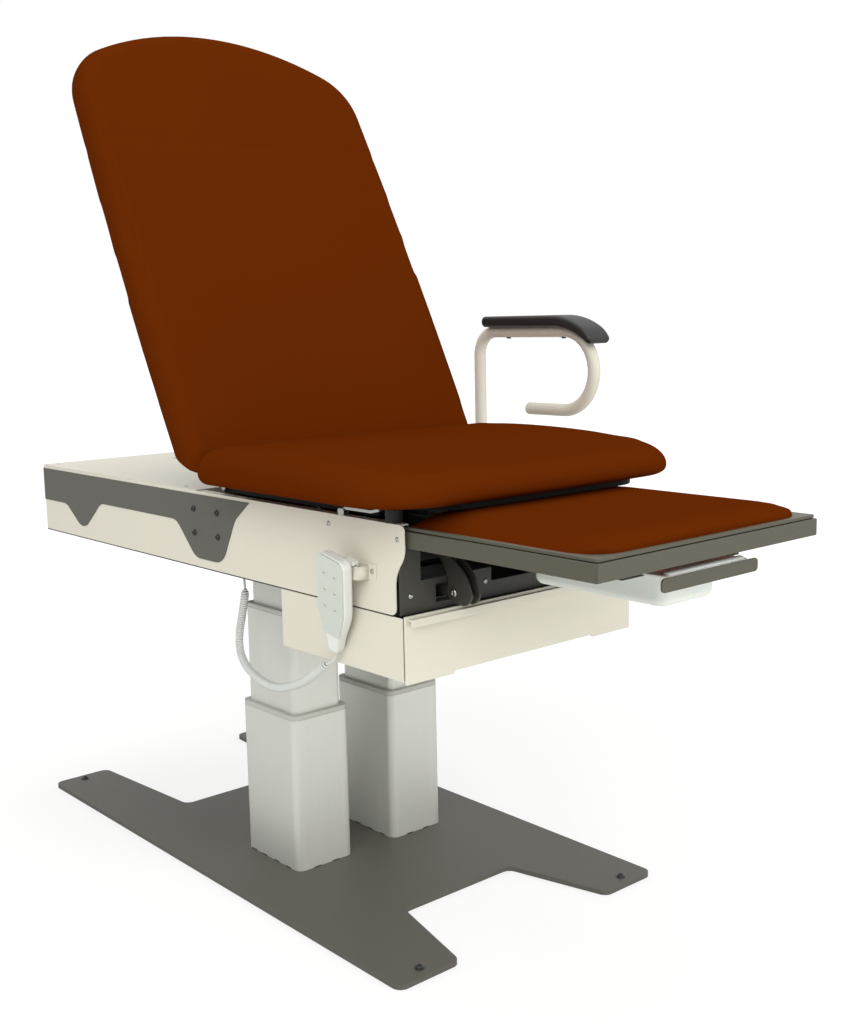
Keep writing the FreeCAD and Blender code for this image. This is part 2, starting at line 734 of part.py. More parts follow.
prop_outer, prop_inner, ear_thick, ear_gap = -264, -258, 2, 0.5
pivot_y, pivot_z, pivot_pin = -448, body_top + 6, 2
ears = new_body("prop_bracket")
ear = rounded(pivot_y - 9, pivot_y + 7, body_top, body_top + 11, 4)
extrude(ears, "x", prop_outer - ear_gap - ear_thick, prop_outer - ear_gap, ear)
extrude(ears, "x", prop_inner + ear_gap, prop_inner + ear_gap + ear_thick, ear)
between = (prop_outer - 1, prop_inner + 1)
block(ears, between, (pivot_y - 9, pivot_y + 7), (body_top, body_top + 1))
extrude(ears, "x", *between, (pivot_y, pivot_z, pivot_pin))
prop = new_body("seat_prop")
extrude(prop, "x", prop_outer, prop_inner, [
    (pivot_y + 1.5, pivot_z + 2.2), (pivot_y - 10.3, pivot_z + 9), (pivot_y - 76.7, pivot_z + 9.3),
    (pivot_y - 97.5, pivot_z + 14), (pivot_y - 98.5, pivot_z + 9.2), (pivot_y - 77.3, pivot_z + 4.3),
    (pivot_y - 11.7, pivot_z + 3.9), (pivot_y - 1.5, pivot_z - 2.2),
])
extrude(prop, "x", prop_outer, prop_inner, (pivot_y, pivot_z, pivot_pin + 2.5))
cut(prop, "x", prop_outer, prop_inner, (pivot_y, pivot_z, pivot_pin + pin_play))


# Backrest, drawn flat about its hinge and turned up: Y runs up the pad, Z through its thickness.
def raise_back(body):
    body.setExpression("Placement.Base.y", hinge_y.text)
    body.setExpression("Placement.Base.z", hinge_z.text)
    body.Placement.Rotation = FreeCAD.Rotation(Vector(1, 0, 0), back_angle.value)
    body.setExpression("Placement.Rotation.Angle", back_angle.text)


back = new_body("back_frame")
extrude(back, "x", -222, 222, (0, 0, 13))
for side in (-1, 1):
    extrude(back, "x", *span(side, 216, 222), [
        (-12, -6), (20, -6), (200, 2), (200, pad_lift - 10), (-6, pad_lift - 10), (-12, 4)])
extrude(back, "z", pad_lift - 10, pad_lift, rounded(*both(300), 70, back_apex - 45, 90))
lean = math.radians(crank_angle.value)


def crank(radius, sideways):
    """A point on the crank, which hangs below the hinge and leans to the foot end when flat."""
    y = -radius * math.sin(lean) + sideways * math.cos(lean)
    z = -radius * math.cos(lean) - sideways * math.sin(lean)
    return (y, z)


extrude(back, "x", -4, 4, [
    crank(0, -12), crank(108, -22), crank(112, -18), crank(112, 18), crank(108, 22), crank(0, 12),
])
slot_half = yoke_pin.value + 3
slot_end = slot_half * 1.05
cut(back, "x", -5, 5, [
    (*crank(68, -slot_half), -slot_end), crank(68, slot_half), (*crank(90, slot_half), -slot_end),
    crank(90, -slot_half),
])
for side in (-1, 1):
    cut(back, "x", *span(side, 211, 223), (0, 0, hinge_pin + pin_play))
raise_back(back)


def inner_round(side_centre, side_radius, top_centre, top_radius, radius):
    """Where an arc of that radius touches two wider arcs from inside: on the side, on the top."""
    gap = top_centre - side_centre
    r0, r1 = side_radius - radius, top_radius - radius
    run = (r0**2 - r1**2 + gap.Length**2) / (2 * gap.Length)
    rise = math.sqrt(r0**2 - run**2)
    toward = Vector(gap).normalize()
    centre = side_centre + toward * run + Vector(-toward.y, toward.x, 0) * rise
    touches = []
    for origin in (side_centre, top_centre):
        touches.append(centre + (centre - origin).normalize() * radius)
    return touches


back_pad = new_body("back_pad")
side_middle = Vector((back_half - back_bulge).value, back_bulge_at.value, 0)
top_middle = Vector(0, (back_apex - back_crown).value, 0)
side_touch, top_touch = inner_round(
    side_middle, back_bulge.value, top_middle, back_crown.value, back_corner.value)
low_y = -back_overrun.value
low_x = side_middle.x + math.sqrt(back_bulge.value**2 - (low_y - back_bulge_at.value) ** 2)
back_face = pad_lift + pad_thick
extrude(back_pad, "z", pad_lift, back_face, [
    (-low_x, low_y), (low_x, low_y, back_bulge), (side_touch.x, side_touch.y, back_corner),
    (top_touch.x, top_touch.y, back_crown), (-top_touch.x, top_touch.y, back_corner),
    (-side_touch.x, side_touch.y, back_bulge),
])
fillet(back_pad, 50, lambda e: along("z")(e) and e.BoundBox.YMax < low_y + 1)
fillet(back_pad, back_front_round, lying("z", back_face))
fillet(back_pad, back_rear_round, lying("z", pad_lift))
under, above, beyond = pad_lift - 31.2, back_face + 2, low_y - 9
heel = [(96.8, under), (4, 71), (-6, back_face), (-7.3, above)]
cut(back_pad, "x", *both(back_half + 20), heel + [(beyond, above), (beyond, under)])
heel_places = [Vector(0, as_dim(y).value, as_dim(z).value) for y, z in heel[:3]]


def heel_edge(edge):
    """Picks the edges left where the pad's lower end is cut away."""
    first, last = edge.FirstParameter, edge.LastParameter
    places = [edge.valueAt(first + (last - first) * t / 4) for t in range(5)]
    for start, end in zip(heel_places, heel_places[1:]):
        across = (end - start).cross(Vector(1, 0, 0)).normalize()
        if max(abs((place - start).dot(across)) for place in places) < 1e-3:
            return True
    return False


fillet(back_pad, cut_round, heel_edge)
raise_back(back_pad)

yoke_z = hinge_z - yoke_drop
rod = new_body("actuator_rod")
extrude(rod, "y", yoke_y + 40, 250, (0, yoke_z, rod_radius))
block(rod, both(11), (yoke_y + 40, yoke_y + 56), (yoke_z - 13, yoke_z + 13))
for side in (-1, 1):
    block(rod, span(side, 5, 11), (yoke_y - 14, yoke_y + 42), (yoke_z - 13, yoke_z + 13))
extrude(rod, "x", -11, 11, (yoke_y, yoke_z, yoke_pin))

motor = new_body("actuator_motor")
barrel_front, gearbox_front, gearbox_rear, gearbox_half = 75, 380, motor_strap[0], 36
extrude(motor, "y", barrel_front, gearbox_front, (0, yoke_z, 22))
block(motor, both(gearbox_half), (gearbox_front, gearbox_rear), (yoke_z - 30, yoke_z + 42))
extrude(motor, "x", gearbox_half, 150, (430, yoke_z + 4, 30))
cut(motor, "y", barrel_front, gearbox_front - 50, (0, yoke_z, rod_radius + pin_play))

control = new_body("control_box")
lid = floor_top + 62
block(control, (-205, -60), (180, 400), (floor_top, lid))
fillet(control, 6, lying("z", lid))


# Armrest on the far side: a bracket with a sleeve, a looped tube that swivels in it, a moulded pad.
bracket = new_body("armrest_bracket")
sleeve = arm_tube + 5.5
extrude(bracket, "x", bracket_face - 6, bracket_face, rounded(
    bolt_y - 56, bolt_y + 56, bolt_z - 37, bolt_z + 37, 8))
block(bracket, (bracket_face, arm_x), (arm_y - 15, arm_y + 15), (bolt_z - 14, bolt_z + 14))
extrude(bracket, "z", bolt_z - 45, bolt_z + 42, (arm_x, arm_y, sleeve))
cut(bracket, "z", bolt_z - 42, bolt_z + 42, (arm_x, arm_y, arm_tube + pin_play))

x, y0, top, bend, loop = (d.value for d in (arm_x, arm_y, arm_top, arm_bend, arm_loop))
bow_y, low_z = arm_loop_y.value, arm_top.value - 2 * arm_loop.value
socket = Vector(x, y0, bolt_z.value - 41.7)
path = [
    Part.LineSegment(socket, Vector(x, y0, top - bend)),
    Part.Arc(
        Vector(x, y0, top - bend),
        Vector(x, y0 - bend * (1 - math.sqrt(0.5)), top - bend * (1 - math.sqrt(0.5))),
        Vector(x, y0 - bend, top),
    ),
    Part.LineSegment(Vector(x, y0 - bend, top), Vector(x, bow_y, top)),
    Part.Arc(Vector(x, bow_y, top), Vector(x, bow_y - loop, top - loop), Vector(x, bow_y, low_z)),
    Part.LineSegment(Vector(x, bow_y, low_z), Vector(x, arm_end_y.value, low_z)),
]
spine = Part.Wire([run.toShape() for run in path])
ring = Part.Wire(Part.Circle(socket, Vector(0, 0, 1), arm_tube.value).toShape())
loop_tube = spine.makePipeShell([ring], True, False)
tube_end = [edge for edge in loop_tube.Edges if lying("y", arm_end_y)(edge)]
arm_loop_tube = free_shape("armrest_tube", loop_tube.makeFillet(3, tube_end))

rest = new_body("armrest_pad_block", node=False)
rest_sides = (arm_x - arm_pad_half, arm_x + arm_pad_half)
rest_tip, rest_rear, rest_face = -413, -110, arm_top + 32
extrude(rest, "x", *rest_sides, [
    (rest_tip + 13, arm_top - 24, -165), (-310, arm_top + 8.5), (rest_rear, arm_top + 9.5, 12),
    (rest_rear, rest_face), (-307, rest_face, 168), (rest_tip + 23, arm_top + 10, 65),
    (rest_tip, arm_top - 12, 9.2),
])
fillet(rest, 8.5, lying("x", *rest_sides))
cushion = doc.addObject("Part::Cut", "armrest_pad")
cushion.Label = "armrest_pad"
cushion.Base = rest
cushion.Tool = arm_loop_tube
NODES.append(cushion)


# Hand control: bracket on the near panel, shell with its clip, key plate, six keys.
def tilted(body):
    """Places a body drawn face-up (X right, Y up the handset, Z outward) where the handset hangs."""
    roll, tilt = math.radians(handset_roll.value), math.radians(handset_tilt.value)
    outward = Vector(-math.cos(tilt), 0, -math.sin(tilt))
    down = Vector(math.sin(tilt), 0, -math.cos(tilt))
    right = Vector(0, -1, 0) * math.cos(roll) + down * math.sin(roll)
    upward = down * -math.cos(roll) - Vector(0, 1, 0) * math.sin(roll)
    turn = FreeCAD.Rotation(right, upward, outward, "ZXY")
    place = Vector(handset_x.value, handset_y.value, handset_z.value)
    body.Placement = FreeCAD.Placement(place, turn)


half = handset_half
shell = new_body("handset_shell")
shell_end, shell_throat, shell_waist, shell_top = -101, -80, -28, 76
extrude(shell, "z", -handset_thick, 0, [
    (-10, shell_end), (10, shell_end), (15, shell_throat), (half, shell_waist), (half - 1, shell_top),
    (-half + 1, shell_top), (-half, shell_waist), (-15, shell_throat),
])
for level, radius in ((shell_end, 6), (shell_throat, 60), (shell_waist, 70), (shell_top, 15)):
    fillet(shell, radius, lambda e: along("z")(e) and abs(e.BoundBox.YMin - level) < 1e-3)
fillet(shell, 5, lying("z", 0))
fillet(shell, 9, lying("z", -handset_thick))
clip_back, clip_gap, clip_sides, clip_top = -handset_thick - 12, 8.5, (8, 30), shell_top - 6
extrude(shell, "z", clip_back, -handset_thick, rect(*clip_sides, clip_top - 6, clip_top))
extrude(shell, "z", clip_back, -handset_thick - clip_gap, rect(*clip_sides, clip_top - 26, clip_top))
tilted(shell)

face = new_body("keypad_plate")
face_loop = [
    (-13, -64), (13, -64), (half - 6, -20), (half - 6, 66), (-half + 6, 66), (-half + 6, -20),
]
key_spots = [(x, y) for y in (44, 14, -16) for x in (-13, 13)]
key_holes = [rounded(x - 8.2, x + 8.2, y - 6.2, y + 6.2, 3.2) for x, y in key_spots]
extrude(face, "z", 0, 1.6, face_loop, *key_holes)
fillet(face, 7, lambda e: along("z")(e) and (abs(e.BoundBox.XMin) > 26 or e.BoundBox.YMin < -60))
tilted(face)
for number, (x, y) in enumerate(key_spots, 1):
    key = new_body(f"key_{number}")
    extrude(key, "z", 0.9, 1.95, rounded(x - 7.9, x + 7.9, y - 5.9, y + 5.9, 2.9))
    tilted(key)

holder = new_body("handset_bracket")
hook_low, hook_rear = 650, -500
block(holder, (panel_x - 2, panel_x), (hook_rear - 40, hook_rear), (hook_low, hook_low + 26))
block(holder, (hook_x, panel_x), (hook_rear - 12, hook_rear), (hook_low, hook_low + 3))
extrude(holder, "x", hook_x, hook_x + 2, rect(hook_rear - 20, hook_rear, hook_low, hook_low + 22))


# Curly cord from a gland under the body to the handset, drawn as the envelope of its coils.
gland = new_body("cord_gland")
gland_x, gland_y, gland_low = -225, -84, body_low - 11
extrude(gland, "z", gland_low, body_low, (gland_x, gland_y, 7))

neck = shell.Placement.multVec(Vector(0, shell_end, -handset_thick.value / 2))
tail = shell.Placement.multVec(Vector(0, shell_end - 17, -handset_thick.value / 2))
exit_point = Vector(gland_x, gland_y, gland_low.value)
coil = [
    Vector(-228, -92, 556), Vector(-236, -58, 428), Vector(-256, -205, 396), Vector(-280, -345, 442),
    Vector(-292, -418, 489),
]


def limp_bends(points):
    """Each bend takes up to 0.45 of the shorter of its two runs."""
    bends = []
    for before, corner, after in zip(points, points[1:], points[2:]):
        half_turn = (math.pi - (before - corner).getAngle(after - corner)) / 2
        shorter = min((before - corner).Length, (after - corner).Length)
        bends.append(0.45 * shorter / math.tan(half_turn))
    return bends


coil_bends = limp_bends(coil)
top_tail = [exit_point, Vector(-225, -84, 572), Vector(-228, -92, 556), Vector(-229.5, -85.6, 532)]
low_tail = [Vector(-286, -381.5, 465.5), Vector(-292, -418, 489), tail, neck]
cord = pipe(coil, coil_radius.value, coil_bends)
for points in (top_tail, low_tail):
    bends = limp_bends(points)
    cord = cord.fuse(pipe(points, wire_radius.value, bends))
    print("tail bend radii", [round(b) for b in bends])
free_shape("handset_cord", cord.removeSplitter())
print("coil bend radii", [round(b) for b in coil_bends])


doc.recompute()
for node in NODES:
    for feature in [node] + list(getattr(node, "Group", [])):
        if "Invalid" in feature.State or "Error" in feature.State:
            raise RuntimeError(f"{node.Label}: {feature.Label} {feature.State}")
    if node.Shape.isNull() or not node.Shape.isValid():
        raise RuntimeError(f"{node.Label} has no valid shape")
    node.Shape.exportStep(f"parts/{node.Label}.step")
print(len(NODES), "nodes", FreeCAD.Version()[0])
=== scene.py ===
"""Examination table: cushions, finishes, curly cord and stage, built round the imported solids."""

import json
import math

import bmesh
import bpy
from bpy.props import FloatProperty, FloatVectorProperty, IntProperty, PointerProperty
from mathutils import Matrix, Vector, geometry


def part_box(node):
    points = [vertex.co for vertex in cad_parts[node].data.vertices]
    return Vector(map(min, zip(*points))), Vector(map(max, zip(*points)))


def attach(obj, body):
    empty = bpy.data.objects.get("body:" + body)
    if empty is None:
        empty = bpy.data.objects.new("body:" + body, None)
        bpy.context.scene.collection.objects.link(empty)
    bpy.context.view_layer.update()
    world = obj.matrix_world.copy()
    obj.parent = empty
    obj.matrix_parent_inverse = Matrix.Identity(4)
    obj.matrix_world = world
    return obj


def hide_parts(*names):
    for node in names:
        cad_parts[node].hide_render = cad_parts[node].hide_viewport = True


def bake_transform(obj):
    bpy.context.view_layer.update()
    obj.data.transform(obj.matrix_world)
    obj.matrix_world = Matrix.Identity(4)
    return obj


bl_info = {
    "name": "Examination Table",
    "version": (1, 0, 0),
    "blender": (4, 5, 0),
    "location": "View3D > Sidebar > Table",
    "description": "Dresses a packed examination table with cushions, finishes, a cord and a stage",
    "category": "Object",
}

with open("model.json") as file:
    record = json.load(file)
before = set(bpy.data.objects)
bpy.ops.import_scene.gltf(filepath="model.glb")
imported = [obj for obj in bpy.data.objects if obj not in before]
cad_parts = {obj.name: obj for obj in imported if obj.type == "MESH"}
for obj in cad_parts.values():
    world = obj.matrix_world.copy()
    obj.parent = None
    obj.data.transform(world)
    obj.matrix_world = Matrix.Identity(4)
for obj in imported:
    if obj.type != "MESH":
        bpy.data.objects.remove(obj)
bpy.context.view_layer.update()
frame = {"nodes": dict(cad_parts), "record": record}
NODES = frame["nodes"]
MM = 0.001
HINGE = Vector((0, -58, 757)) * MM
BACK_ANGLE = math.radians(63)
FORK_PIVOT, FORK_BOLT = (-636, 622), (-613, 625.5)
ARM_X, ARM_UNDER = 410, 1017.3
HANDSET, HANDSET_ROLL, HANDSET_TILT = Vector((-306, -467, 615)) * MM, math.radians(14), math.radians(10)
KEY_SPOTS = [(x, y) for y in (44, 14, -16) for x in (-13, 13)]
KEY_HOLE_HALF, KEY_HOLE_ROUND = (8.2, 6.2), 3.2
FOAM_FRAMES = 20
CAMERA_PLACE = Vector((-1501.3, -2096.8, 1061.0)) * MM
CAMERA_YAW, CAMERA_PITCH, CAMERA_ROLL = (math.radians(v) for v in (40.616, 8.628, -1.241))
PICTURE_HEIGHT_PX, OPTICAL_CENTRE_DROP_PX = 1024, -0.6


def linear(code):
    """Linear RGB of an sRGB hex colour."""
    values = [int(code[i:i + 2], 16) / 255 for i in (1, 3, 5)]
    return tuple(v / 12.92 if v <= 0.04045 else ((v + 0.055) / 1.055) ** 2.4 for v in values)


def tint(name, code, words):
    return FloatVectorProperty(
        name=name, description=words, subtype="COLOR", size=3, min=0, max=1, default=linear(code)
    )


def length(name, millimetres, words):
    return FloatProperty(
        name=name, description=words, unit="LENGTH", precision=4, default=millimetres * MM
    )


class TableColours(bpy.types.PropertyGroup):
    """Colours of the finishes."""

    vinyl: tint("Vinyl", "#5D2504", "Upholstery of the cushions")
    cream: tint("Cream paint", "#DFDACA", "Panels, drawer and armrest tube")
    warm_grey: tint("Warm grey paint", "#57554D", "Base plate and accent plates")
    charcoal: tint("Charcoal paint", "#403F39", "Front panel, floor sheet and forks")
    olive: tint("Olive grey paint", "#4D4A3B", "Leg rest frame")
    silver: tint("Anodised silver", "#D7D8D1", "Lifting columns")
    zinc: tint("Zinc plate", "#B9BAB6", "Prop, bars, pins and screws")
    handset: tint("Handset white", "#E6E8E3", "Shell of the hand control")
    keypad: tint("Keypad film", "#CDD2C8", "Film on the hand control's face")


class CushionForm(bpy.types.PropertyGroup):
    """Shape of the upholstered pads."""

    voxel: length("Voxel", 6, "Grid of the simulated skin")
    swell: length("Swell", 2.5, "Most that the foam pushes the vinyl out")
    seat_crown: length("Seat crown", 13, "Fall of the seat's top towards its front and rear")
    leg_crown: length("Leg rest crown", 16, "Rise of the leg rest's foam over its board")
    pressure: FloatProperty(name="Pressure", description="Push of the foam", default=4.0)
    crease_at: length("Crease height", 698, "From the hinge to the crease across the backrest")
    crease_width: length("Crease width", 20, "Half width of the soft crease")
    crease_depth: length("Crease depth", 0.8, "How far the crease pulls in")


class CordForm(bpy.types.PropertyGroup):
    """Shape of the curly cord."""

    wire: length("Wire", 2.2, "Radius of the wire")
    coil: length("Coil", 5.9, "Radius of the coil's middle line")
    pitch: length("Pitch", 4.6, "Distance from turn to turn")
    per_turn: IntProperty(name="Points per turn", description="Curve points in a turn", default=14)


class StageSetup(bpy.types.PropertyGroup):
    """Floor, light and camera."""

    floor: tint("Floor", "#F2F2F0", "Colour of the floor")
    ambient: FloatProperty(name="Ambient", description="Strength of the even light", default=0.62)
    lens: FloatProperty(name="Lens", description="Focal length in millimetres", default=44.72)


def colour(name):
    return (*getattr(bpy.context.scene.table_colours, name), 1.0)


def add(tree, kind, settings=None, links=None):
    """Adds a node; settings name its sockets or attributes, links its linked sockets."""
    node = tree.nodes.new(kind)
    for key, value in (settings or {}).items():
        if key in node.inputs:
            node.inputs[key].default_value = value
        else:
            setattr(node, key, value)
    for key, source in (links or {}).items():
        tree.links.new(source, node.inputs[key])
    return node


def material(name, **sockets):
    """A new material; the sockets of its shader are set as named."""
    made = bpy.data.materials.new(name)
    made.use_nodes = True
    shader = made.node_tree.nodes["Principled BSDF"]
    for key, value in sockets.items():
        shader.inputs[key.replace("_", " ")].default_value = value
    place = add(made.node_tree, "ShaderNodeTexCoord").outputs["Object"]
    return made, made.node_tree, shader, place


def shade(base, factor):
    return (*[min(c * factor, 1.0) for c in base[:3]], 1.0)


def vary(tree, shader, place, base, patch, spread):
    """Colour that drifts a little from patch to patch, as a real batch of paint or hide does."""
    drift = add(tree, "ShaderNodeTexNoise", {"Scale": 1 / patch, "Detail": 3.0}, {"Vector": place})
    ramp = add(tree, "ShaderNodeMixRGB", {
        "Color1": shade(base, 1 - spread), "Color2": shade(base, 1 + spread),
    }, {"Fac": drift.outputs["Fac"]})
    tree.links.new(ramp.outputs["Color"], shader.inputs["Base Color"])


def rough_bump(tree, shader, height, strength, depth, low, high):
    """The same grain gives the bump and a small change of gloss."""
    bump = add(tree, "ShaderNodeBump", {"Strength": strength, "Distance": depth}, {"Height": height})
    tree.links.new(bump.outputs["Normal"], shader.inputs["Normal"])
    gloss = add(tree, "ShaderNodeMapRange", {"To Min": low, "To Max": high}, {"Value": height})
    tree.links.new(gloss.outputs["Result"], shader.inputs["Roughness"])


def powder_coat(name, base, peel=3.5 * MM, low=0.42, high=0.56, sheen=0.5):
    # Polyester powder baked on sheet steel: a soft satin sheen over faint orange peel. Its real peel
    # of about 1 mm is drawn at 3.5 mm so that it shows.
    made, tree, shader, place = material(name, IOR=1.5, Specular_IOR_Level=sheen)
    vary(tree, shader, place, base, 0.25, 0.025)
    peel_noise = add(tree, "ShaderNodeTexNoise", {"Scale": 1 / peel, "Detail": 2.0}, {"Vector": place})
    rough_bump(tree, shader, peel_noise.outputs["Fac"], 0.12, 0.3 * MM, low, high)
    return made


def coated_vinyl(name, base):
    # Expanded vinyl on knit backing: embossed with a shallow hide grain, a dull even sheen. The real
    # grain of about 0.8 mm is drawn at 2.5 mm so that it shows.
    made, tree, shader, place = material(name, IOR=1.46, Specular_IOR_Level=0.0)
    vary(tree, shader, place, base, 0.35, 0.05)
    cells = add(tree, "ShaderNodeTexVoronoi", {
        "feature": "DISTANCE_TO_EDGE", "Scale": 1 / (2.5 * MM),
    }, {"Vector": place})
    fold = add(tree, "ShaderNodeTexNoise", {"Scale": 1 / (60 * MM), "Detail": 4.0}, {"Vector": place})
    grain = add(tree, "ShaderNodeMath", {"operation": "MULTIPLY_ADD"}, {0: cells.outputs["Distance"]})
    grain.inputs[1].default_value = 0.5
    tree.links.new(fold.outputs["Fac"], grain.inputs[2])
    rough_bump(tree, shader, grain.outputs["Value"], 0.1, 0.4 * MM, 0.48, 0.66)
    return made


def anodised_aluminium(name, base):
    # Extruded tube, brushed along its length and anodised: a grey-white metal with fine upright lines
    # that catch the light softly. The lines, 0.2 mm apart, are drawn 1.5 mm apart so that they show.
    made, tree, shader, place = material(name, Metallic=0.6)
    across, along = 1 / (1.5 * MM), 4.0
    stretch = add(tree, "ShaderNodeMapping", {"Scale": (across, across, along)}, {"Vector": place})
    lines = add(tree, "ShaderNodeTexNoise", {"Scale": 1.0, "Detail": 4.0}, {
        "Vector": stretch.outputs["Vector"],
    })
    tone = add(tree, "ShaderNodeMixRGB", {
        "Color1": shade(base, 0.93), "Color2": shade(base, 1.04),
    }, {"Fac": lines.outputs["Fac"]})
    tree.links.new(tone.outputs["Color"], shader.inputs["Base Color"])
    rough_bump(tree, shader, lines.outputs["Fac"], 0.05, 0.1 * MM, 0.42, 0.56)
    return made


def zinc_plate(name, base):
    # Steel bar, zinc plated: bright, slightly blue, with the soft clouding of the plating bath.
    made, tree, shader, place = material(name, Metallic=1.0)
    vary(tree, shader, place, base, 0.02, 0.06)
    cloud = add(tree, "ShaderNodeTexNoise", {"Scale": 1 / (5 * MM), "Detail": 3.0}, {"Vector": place})
    rough_bump(tree, shader, cloud.outputs["Fac"], 0.06, 0.1 * MM, 0.24, 0.4)
    return made


def moulded_plastic(name, base, spark, low, high, ior=1.53):
    # Injection moulded: even colour, a spark-eroded mould texture whose depth sets the gloss.
    made, tree, shader, place = material(name, IOR=ior)
    vary(tree, shader, place, base, 0.06, 0.02)
    texture = add(tree, "ShaderNodeTexNoise", {"Scale": 1 / spark, "Detail": 2.0}, {"Vector": place})
    rough_bump(tree, shader, texture.outputs["Fac"], 0.1, 0.15 * MM, low, high)
    return made


def basin_plastic(name):
    # Vacuum-formed polypropylene: milky white, light soaks a little way in, waxy gloss.
    made, tree, shader, place = material(
        name, IOR=1.49, Specular_IOR_Level=0.3, Subsurface_Weight=0.25, Subsurface_Scale=0.01)
    vary(tree, shader, place, (*linear("#E8E8E2"), 1.0), 0.08, 0.015)
    ripple = add(tree, "ShaderNodeTexNoise", {"Scale": 1 / (25 * MM), "Detail": 2.0}, {"Vector": place})
    rough_bump(tree, shader, ripple.outputs["Fac"], 0.08, 0.6 * MM, 0.42, 0.54)
    return made


def soft_rubber(name):
    # Moulded nitrile rubber: near black, matt, with a dusty bloom.
    made, tree, shader, place = material(name, IOR=1.52)
    vary(tree, shader, place, (*linear("#141414"), 1.0), 0.01, 0.25)
    bloom = add(tree, "ShaderNodeTexNoise", {"Scale": 1 / (2 * MM), "Detail": 3.0}, {"Vector": place})
    rough_bump(tree, shader, bloom.outputs["Fac"], 0.15, 0.2 * MM, 0.6, 0.8)
    return made


def dress(obj, made):
    obj.data.materials.clear()
    obj.data.materials.append(made)


def slot_nodes(*slots):
    return [part["node"] for part in frame["record"]["subparts"] if part["material_slot"] in slots]


def soften(node, width, segments=2):
    """Breaks a solid's sharp edges as a bend, a deburred cut or a mould does."""
    obj = NODES[node]
    weld = obj.modifiers.new("weld", "WELD")
    weld.merge_threshold = 0.01 * MM
    bevel = obj.modifiers.new("broken edge", "BEVEL")
    bevel.width = width
    bevel.segments = segments
    bevel.limit_method = "ANGLE"
    bevel.angle_limit = math.radians(40)
    bevel.use_clamp_overlap = True
    normals = obj.modifiers.new("even shading", "WEIGHTED_NORMAL")
    normals.keep_sharp = False


def finish_nodes(made, slot, width):
    for node in slot_nodes(slot):
        dress(NODES[node], made)
        soften(node, width)


def link(name, mesh):
    obj = bpy.data.objects.new(name, mesh)
    bpy.context.scene.collection.objects.link(obj)
    return obj


def mesh_piece(name, build):
    """An object whose mesh the build function fills."""
    shape = bmesh.new()
    build(shape)
    bmesh.ops.recalc_face_normals(shape, faces=shape.faces)
    mesh = bpy.data.meshes.new(name)
    shape.to_mesh(mesh)
    shape.free()
    for face in mesh.polygons:
        face.use_smooth = True
    return link(name, mesh)


def evaluated(obj):
    graph = bpy.context.evaluated_depsgraph_get()
    return bpy.data.meshes.new_from_object(obj.evaluated_get(graph))


def swap_mesh(obj, mesh):
    old = obj.data
    obj.data = mesh
    bpy.data.meshes.remove(old)


def foam_pad(name, node, flat, form):
    """A copy of the pad's solid, laid flat, with an even skin that the foam presses out a little."""
    obj = link(name, NODES[node].data.copy())
    obj.data.materials.clear()
    obj.data.transform(flat.inverted())
    low, high = corners(obj)
    remesh = obj.modifiers.new("skin", "REMESH")
    remesh.mode = "VOXEL"
    remesh.voxel_size = min(form.voxel, (high.z - low.z) / 5)
    swap_mesh(obj, evaluated(obj))
    obj.modifiers.clear()
    if name == "back_cushion":
        true_sides(obj, form)
    inflate(obj, form, low.z)
    smooth = obj.modifiers.new("smooth", "SUBSURF")
    smooth.levels = 1
    swap_mesh(obj, evaluated(obj))
    obj.modifiers.clear()
    for face in obj.data.polygons:
        face.use_smooth = True
    return obj


def true_sides(obj, form):
    """Gives the backrest's long sides their even bow, without the facets of the solid's mesh."""
    half, bow, middle = 351 * MM, 12500 * MM, 270 * MM
    first, last, ease = 60 * MM, 780 * MM, 60 * MM
    step = 2 * form.voxel
    widest = {}
    for vertex in obj.data.vertices:
        row = round(vertex.co.y / step)
        widest[row] = max(widest.get(row, 0.0), abs(vertex.co.x))
    for vertex in obj.data.vertices:
        y = vertex.co.y
        row = math.floor(y / step)
        share = y / step - row
        seen = widest.get(row, half) * (1 - share) + widest.get(row + 1, half) * share
        meant = half - bow + math.sqrt(bow**2 - (y - middle) ** 2)
        blend = fade((y - first) / ease) * fade((last - y) / ease)
        vertex.co.x *= 1 + (meant / seen - 1) * blend


def reach_of(places):
    """The lowest and highest corner of some places."""
    low = Vector([min(place[axis] for place in places) for axis in range(3)])
    high = Vector([max(place[axis] for place in places) for axis in range(3)])
    return low, high


def corners(obj):
    return reach_of([vertex.co for vertex in obj.data.vertices])


def inflate(obj, form, board):
    """Foam pushes the vinyl out by cloth pressure; the face on the board stays flat."""
    held = obj.vertex_groups.new(name="board")
    held.add([v.index for v in obj.data.vertices if v.co.z < board + form.voxel], 1.0, "REPLACE")
    cloth = obj.modifiers.new("foam", "CLOTH")
    cloth.settings.vertex_group_mass = held.name
    cloth.settings.quality = 4
    cloth.settings.use_pressure = True
    cloth.settings.uniform_pressure_force = form.pressure
    cloth.settings.effector_weights.gravity = 0
    cloth.collision_settings.use_collision = False
    scene = bpy.context.scene
    for step in range(1, FOAM_FRAMES + 1):
        scene.frame_set(step)
    swollen = evaluated(obj)
    for vertex, before in zip(swollen.vertices, obj.data.vertices):
        push = (vertex.co - before.co).dot(before.normal)
        vertex.co = before.co + before.normal * min(max(push, 0.0), form.swell)
    obj.modifiers.clear()
    obj.vertex_groups.clear()
    swap_mesh(obj, swollen)
    scene.frame_set(1)


def crown_seat(obj, form):
    """Lets the seat's top fall away, front and rear, as stuffed foam does."""
    low, high = corners(obj)
    top, reach = -310 * MM, 270 * MM
    for vertex in obj.data.vertices:
        fall = form.seat_crown * ((vertex.co.y - top) / reach) ** 2
        vertex.co.z -= fall * (vertex.co.z - low.z) / (high.z - low.z)


